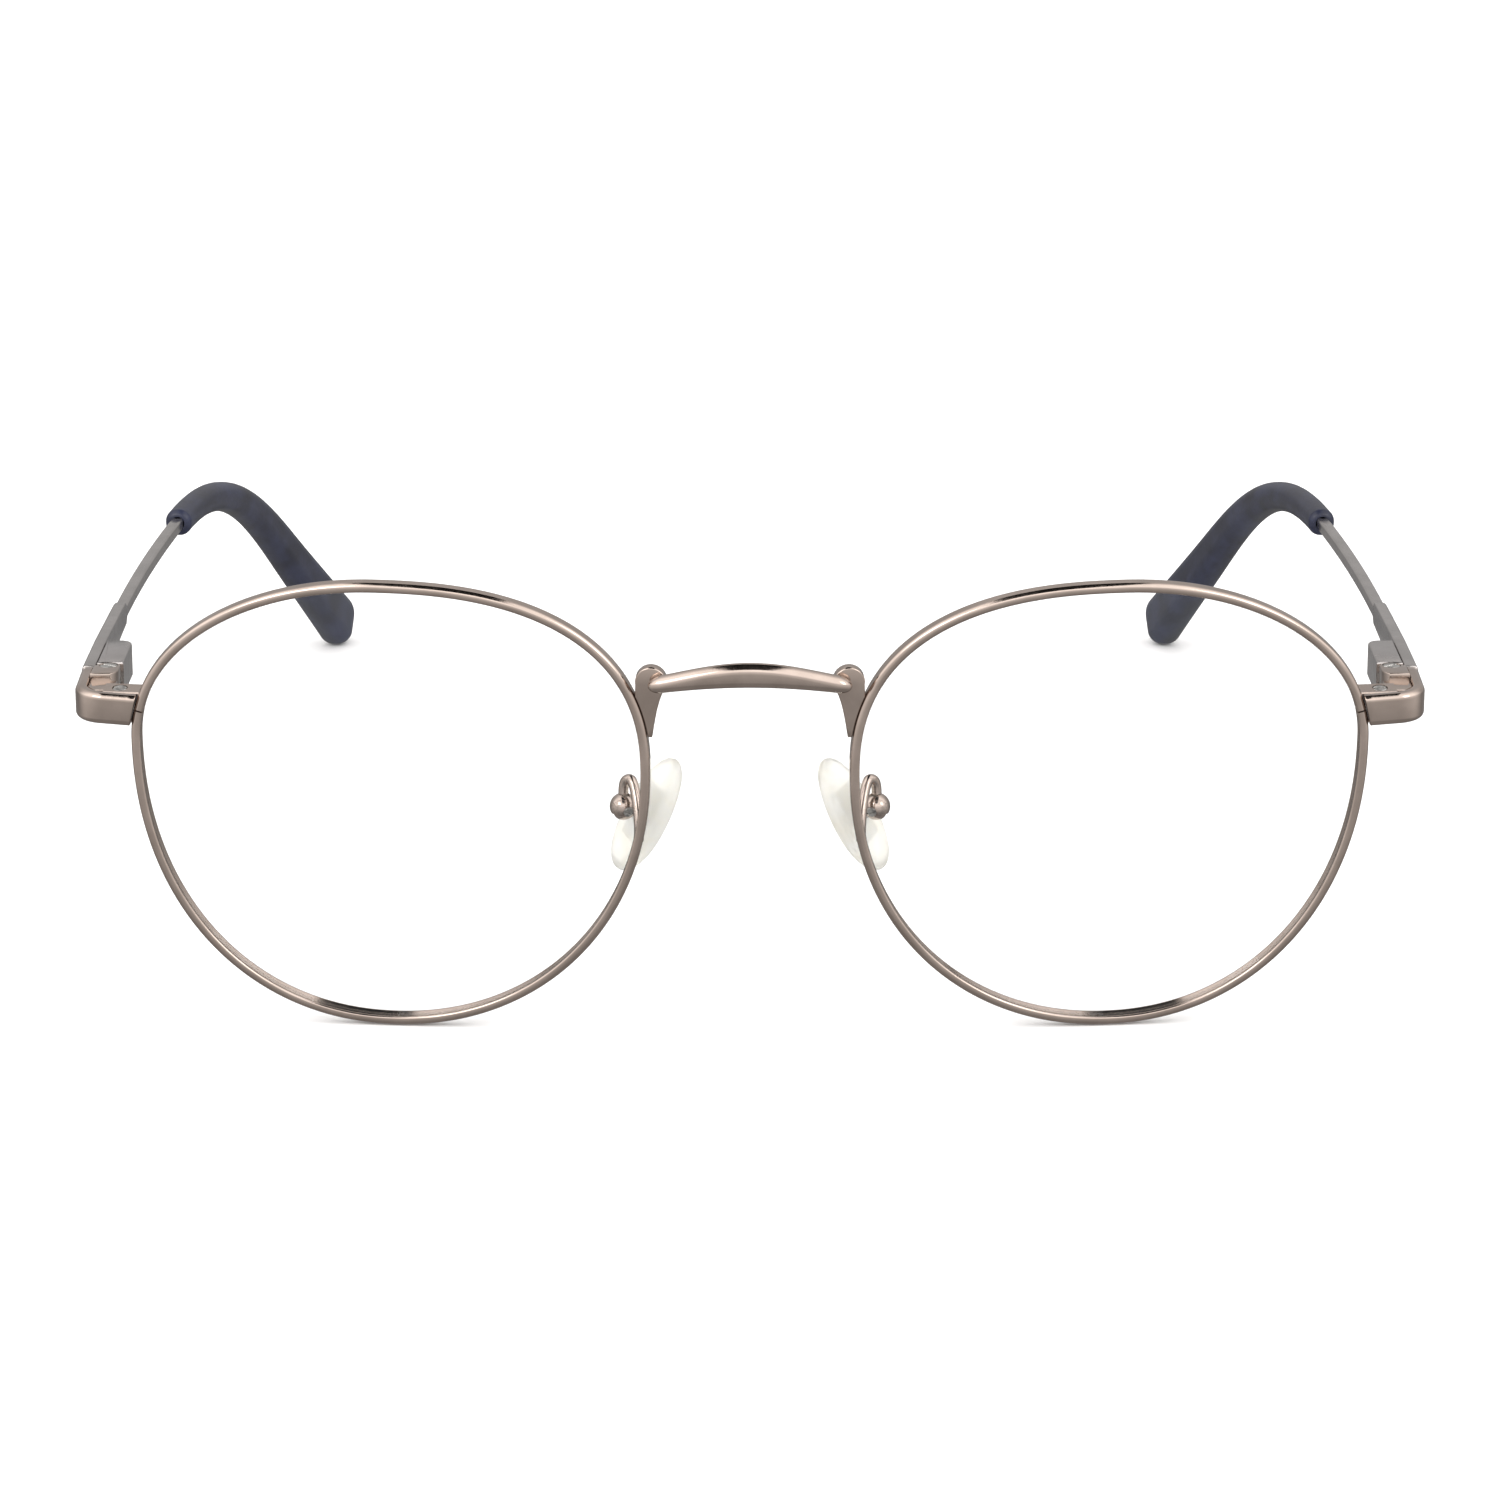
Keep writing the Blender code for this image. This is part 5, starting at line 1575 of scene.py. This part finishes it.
    def tip(self) -> Shape:
        """Sleeve over the wire: up its bore, round its mouth, along it and over its end.

        Over the last half width w the sections shrink as the cosine of the angle whose sine is
        the way into that stretch.

        Returns:
            The closed shape in the hinge's frame.
        """
        hole = self.wire + 0.06 * MM
        bore = np.linspace(self.tip_start + 3.0 * MM, self.tip_start + 0.05 * MM, 5)
        r = self.mouth_round
        lip = np.radians(np.linspace(90, 10, 9))
        run = self.end_width / 2
        cap = np.radians(np.linspace(0, 86, 22)[1:])
        body = np.linspace(self.tip_start + r, self.length - run, 110)
        end = self.length - run + run * np.sin(cap)
        lengths = np.concatenate([bore, self.tip_start + r - r * np.sin(lip), body, end])
        thick, wide = self.tip_size(lengths)
        inset = 2 * (r - r * np.cos(lip))
        thick[: len(bore)] = wide[: len(bore)] = hole
        thick[len(bore) : len(bore) + len(lip)] -= inset
        wide[len(bore) : len(bore) + len(lip)] -= inset
        thick[-len(cap) :] *= np.cos(cap) ** 0.62
        wide[-len(cap) :] *= np.cos(cap)
        radius = np.minimum(0.46 * np.minimum(thick, wide), 2.0 * MM)
        sizes = zip(thick / 2, wide / 2, radius)
        sections = [rounded_section(a, b, corner, corner, 9) for a, b, corner in sizes]
        return grid_shape(swept(*self.frames(lengths), sections)[:, ::-1])

    def build(self, side: Side) -> None:
        """Make one side's temple and tip.

        Args:
            side: Which half.
        """
        bar = Piece("temple_bar", "temple", "gunmetal_temple", TEMPLE_METAL, 40.0, "temple")
        tip = Piece("ear_tip", "temple_tip", "acetate_navy", Acetate(), 50.0, "temple")
        for piece, shape in ((bar, self.bar()), (tip, self.tip())):
            piece.put(side, self.stance.world(shape, side, offset=self.stance.hinge))


# ---------------------------------------------------------------- studio


@dataclass
class Studio:
    """Pale table, surround, two soft lamps aimed at one place, black card and camera."""

    stance: Stance
    eye: tuple[float, float, float] = (0.0, -0.49024, 0.14603)
    pitch: float = math.radians(16.0)
    focal_mm: float = 127.4
    aim: tuple[float, float, float] = (0.0, -0.03, 0.03)

    def floor(self) -> None:
        """A wide disc whose tone and roughness drift a little, like a matt white table."""
        level = -0.0001
        profile = [(4.0, -0.02), (4.0, level), (1.0, level), (0.05, level)]
        mesh = to_mesh("floor", turned(profile, 96))
        graph = Graph(bpy.data.materials.new("white_table"))
        drift = graph.noise(graph.place(), 3.0, 3.0)
        grain = graph.noise(graph.place(), 700.0, 3.0)
        tones = ((0.92, 0.92, 0.92, 1.0), (0.95, 0.95, 0.95, 1.0))
        colour = graph.mix(drift.over(0.3, 0.7), *tones)
        graph.set(Base_Color=colour, Roughness=0.75 + 0.15 * grain, Specular_IOR_Level=0.2)
        mesh.materials.append(graph.owner)
        floor = bpy.data.objects.new("floor", mesh)
        bpy.context.scene.collection.objects.link(floor)
        floor.visible_glossy = False

    def world(self) -> None:
        """Radiance by direction: bright ahead above the horizon, dim below it and behind."""
        world = bpy.data.worlds.new("studio")
        graph = Graph(world)
        way = {"Vector": graph.add("ShaderNodeTexCoord", {}, {}, "Generated")}
        back = graph.add("ShaderNodeSeparateXYZ", {}, way, "Y")
        rise = graph.add("ShaderNodeSeparateXYZ", {}, way, "Z")
        ahead = 0.34 + 0.72 * rise.over(-0.8, 0.0) + 0.95 * rise.over(0.0, 0.35)
        behind = 0.30 + 0.25 * rise.over(-0.12, 0.2) + 0.5 * rise.over(0.35, 0.9)
        share = (0.0 - back).over(-0.6, 0.2)
        graph.set(Strength=behind + (ahead - behind) * share)
        graph.set(Color=(1.0, 0.985, 0.975, 1.0))
        bpy.context.scene.world = world

    def flag(self, name: str, centre: Sequence[float], size: Sequence[float]) -> None:
        """A level black card that only reflections see, to give polished metal its dark lines.

        Args:
            name: Its name.
            centre: Where its middle is.
            size: Its width along x and its length along y.
        """
        outline = np.array([(0.5, -0.5), (0.5, 0.5), (-0.5, 0.5), (-0.5, -0.5)]) * np.array(size)
        rings = np.stack([flat_ring(outline, z) for z in (-MM, MM)])
        card = to_mesh(name, grid_shape(rings).moved(UPRIGHT, np.array(centre)))
        graph = Graph(bpy.data.materials.new(name))
        weave = graph.noise(graph.place(), 400.0, 2.0)
        tones = ((0.002, 0.002, 0.002, 1.0), (0.004, 0.004, 0.004, 1.0))
        graph.set(Base_Color=graph.mix(weave, *tones))
        graph.set(Roughness=0.95, Specular_IOR_Level=0.0)
        card.materials.append(graph.owner)
        obj = bpy.data.objects.new(name, card)
        bpy.context.scene.collection.objects.link(obj)
        obj.visible_camera = obj.visible_diffuse = obj.visible_shadow = False
        obj.visible_transmission = False

    def lamp(
        self, name: str, place: Sequence[float], size: tuple[float, float], watts: float
    ) -> None:
        """A soft rectangular lamp.

        Args:
            name: Its name.
            place: Where it is.
            size: Its width and height in metres.
            watts: Its power.
        """
        data = bpy.data.lights.new(name, "AREA")
        data.shape, data.size, data.size_y, data.energy = "RECTANGLE", size[0], size[1], watts
        lamp = bpy.data.objects.new(name, data)
        bpy.context.scene.collection.objects.link(lamp)
        away = np.array(place, float) - np.array(self.aim, float)
        away /= np.linalg.norm(away)
        right = np.cross([0.0, 0.0, 1.0], away)
        right /= np.linalg.norm(right)
        matrix = np.eye(4)
        matrix[:3, :3] = np.column_stack([right, np.cross(away, right), away])
        matrix[:3, 3] = place
        lamp.matrix_world = Matrix(matrix.tolist())

    def camera(self) -> None:
        """The camera looks level across and down, at a fixed place in the side frame."""
        data = bpy.data.cameras.new("camera")
        data.lens, data.sensor_width = self.focal_mm, 36.0
        data.clip_start, data.clip_end = 0.01, 20.0
        camera = bpy.data.objects.new("camera", data)
        bpy.context.scene.collection.objects.link(camera)
        lean = self.stance.lean
        camera.location = turn_x(lean) @ np.array(self.eye) + self.stance.origin
        camera.rotation_euler = (math.pi / 2 - self.pitch + lean, 0.0, 0.0)
        bpy.context.scene.camera = camera

    def build(self) -> None:
        """Set up the camera, then the table, the light and the black card."""
        self.camera()
        self.floor()
        self.world()
        self.lamp("key_softbox", (-0.55, -0.75, 0.6), (0.5, 0.35), 2.0)
        self.lamp("fill_softbox", (0.65, -0.6, 0.5), (0.35, 0.5), 1.4)
        self.flag("overhead_card", (0.0, -0.09, 0.53), (0.28, 1.15))
        bpy.context.scene.view_settings.view_transform = "Standard"


def main() -> None:
    """Set the studio, then build the glasses from the rims outwards."""
    logging.basicConfig(level=logging.INFO, format="%(name)s: %(message)s")
    stance = Stance()
    Studio(stance).build()
    outline = LensOutline()
    rim = Rim(outline, stance)
    lens, lug = Lens(outline, stance), EndPiece(rim, stance)
    pads, hinge, temple = NosePad(rim, stance), SpringHinge(stance), Temple(stance)
    Bridge(rim, stance).build()
    builders: tuple[Callable[[Side], None], ...] = (
        rim.build,
        lens.build,
        lug.build,
        pads.build,
        hinge.build,
        temple.build,
    )
    for side in Side:
        for build in builders:
            build(side)


if __name__ == "__main__":
    main()
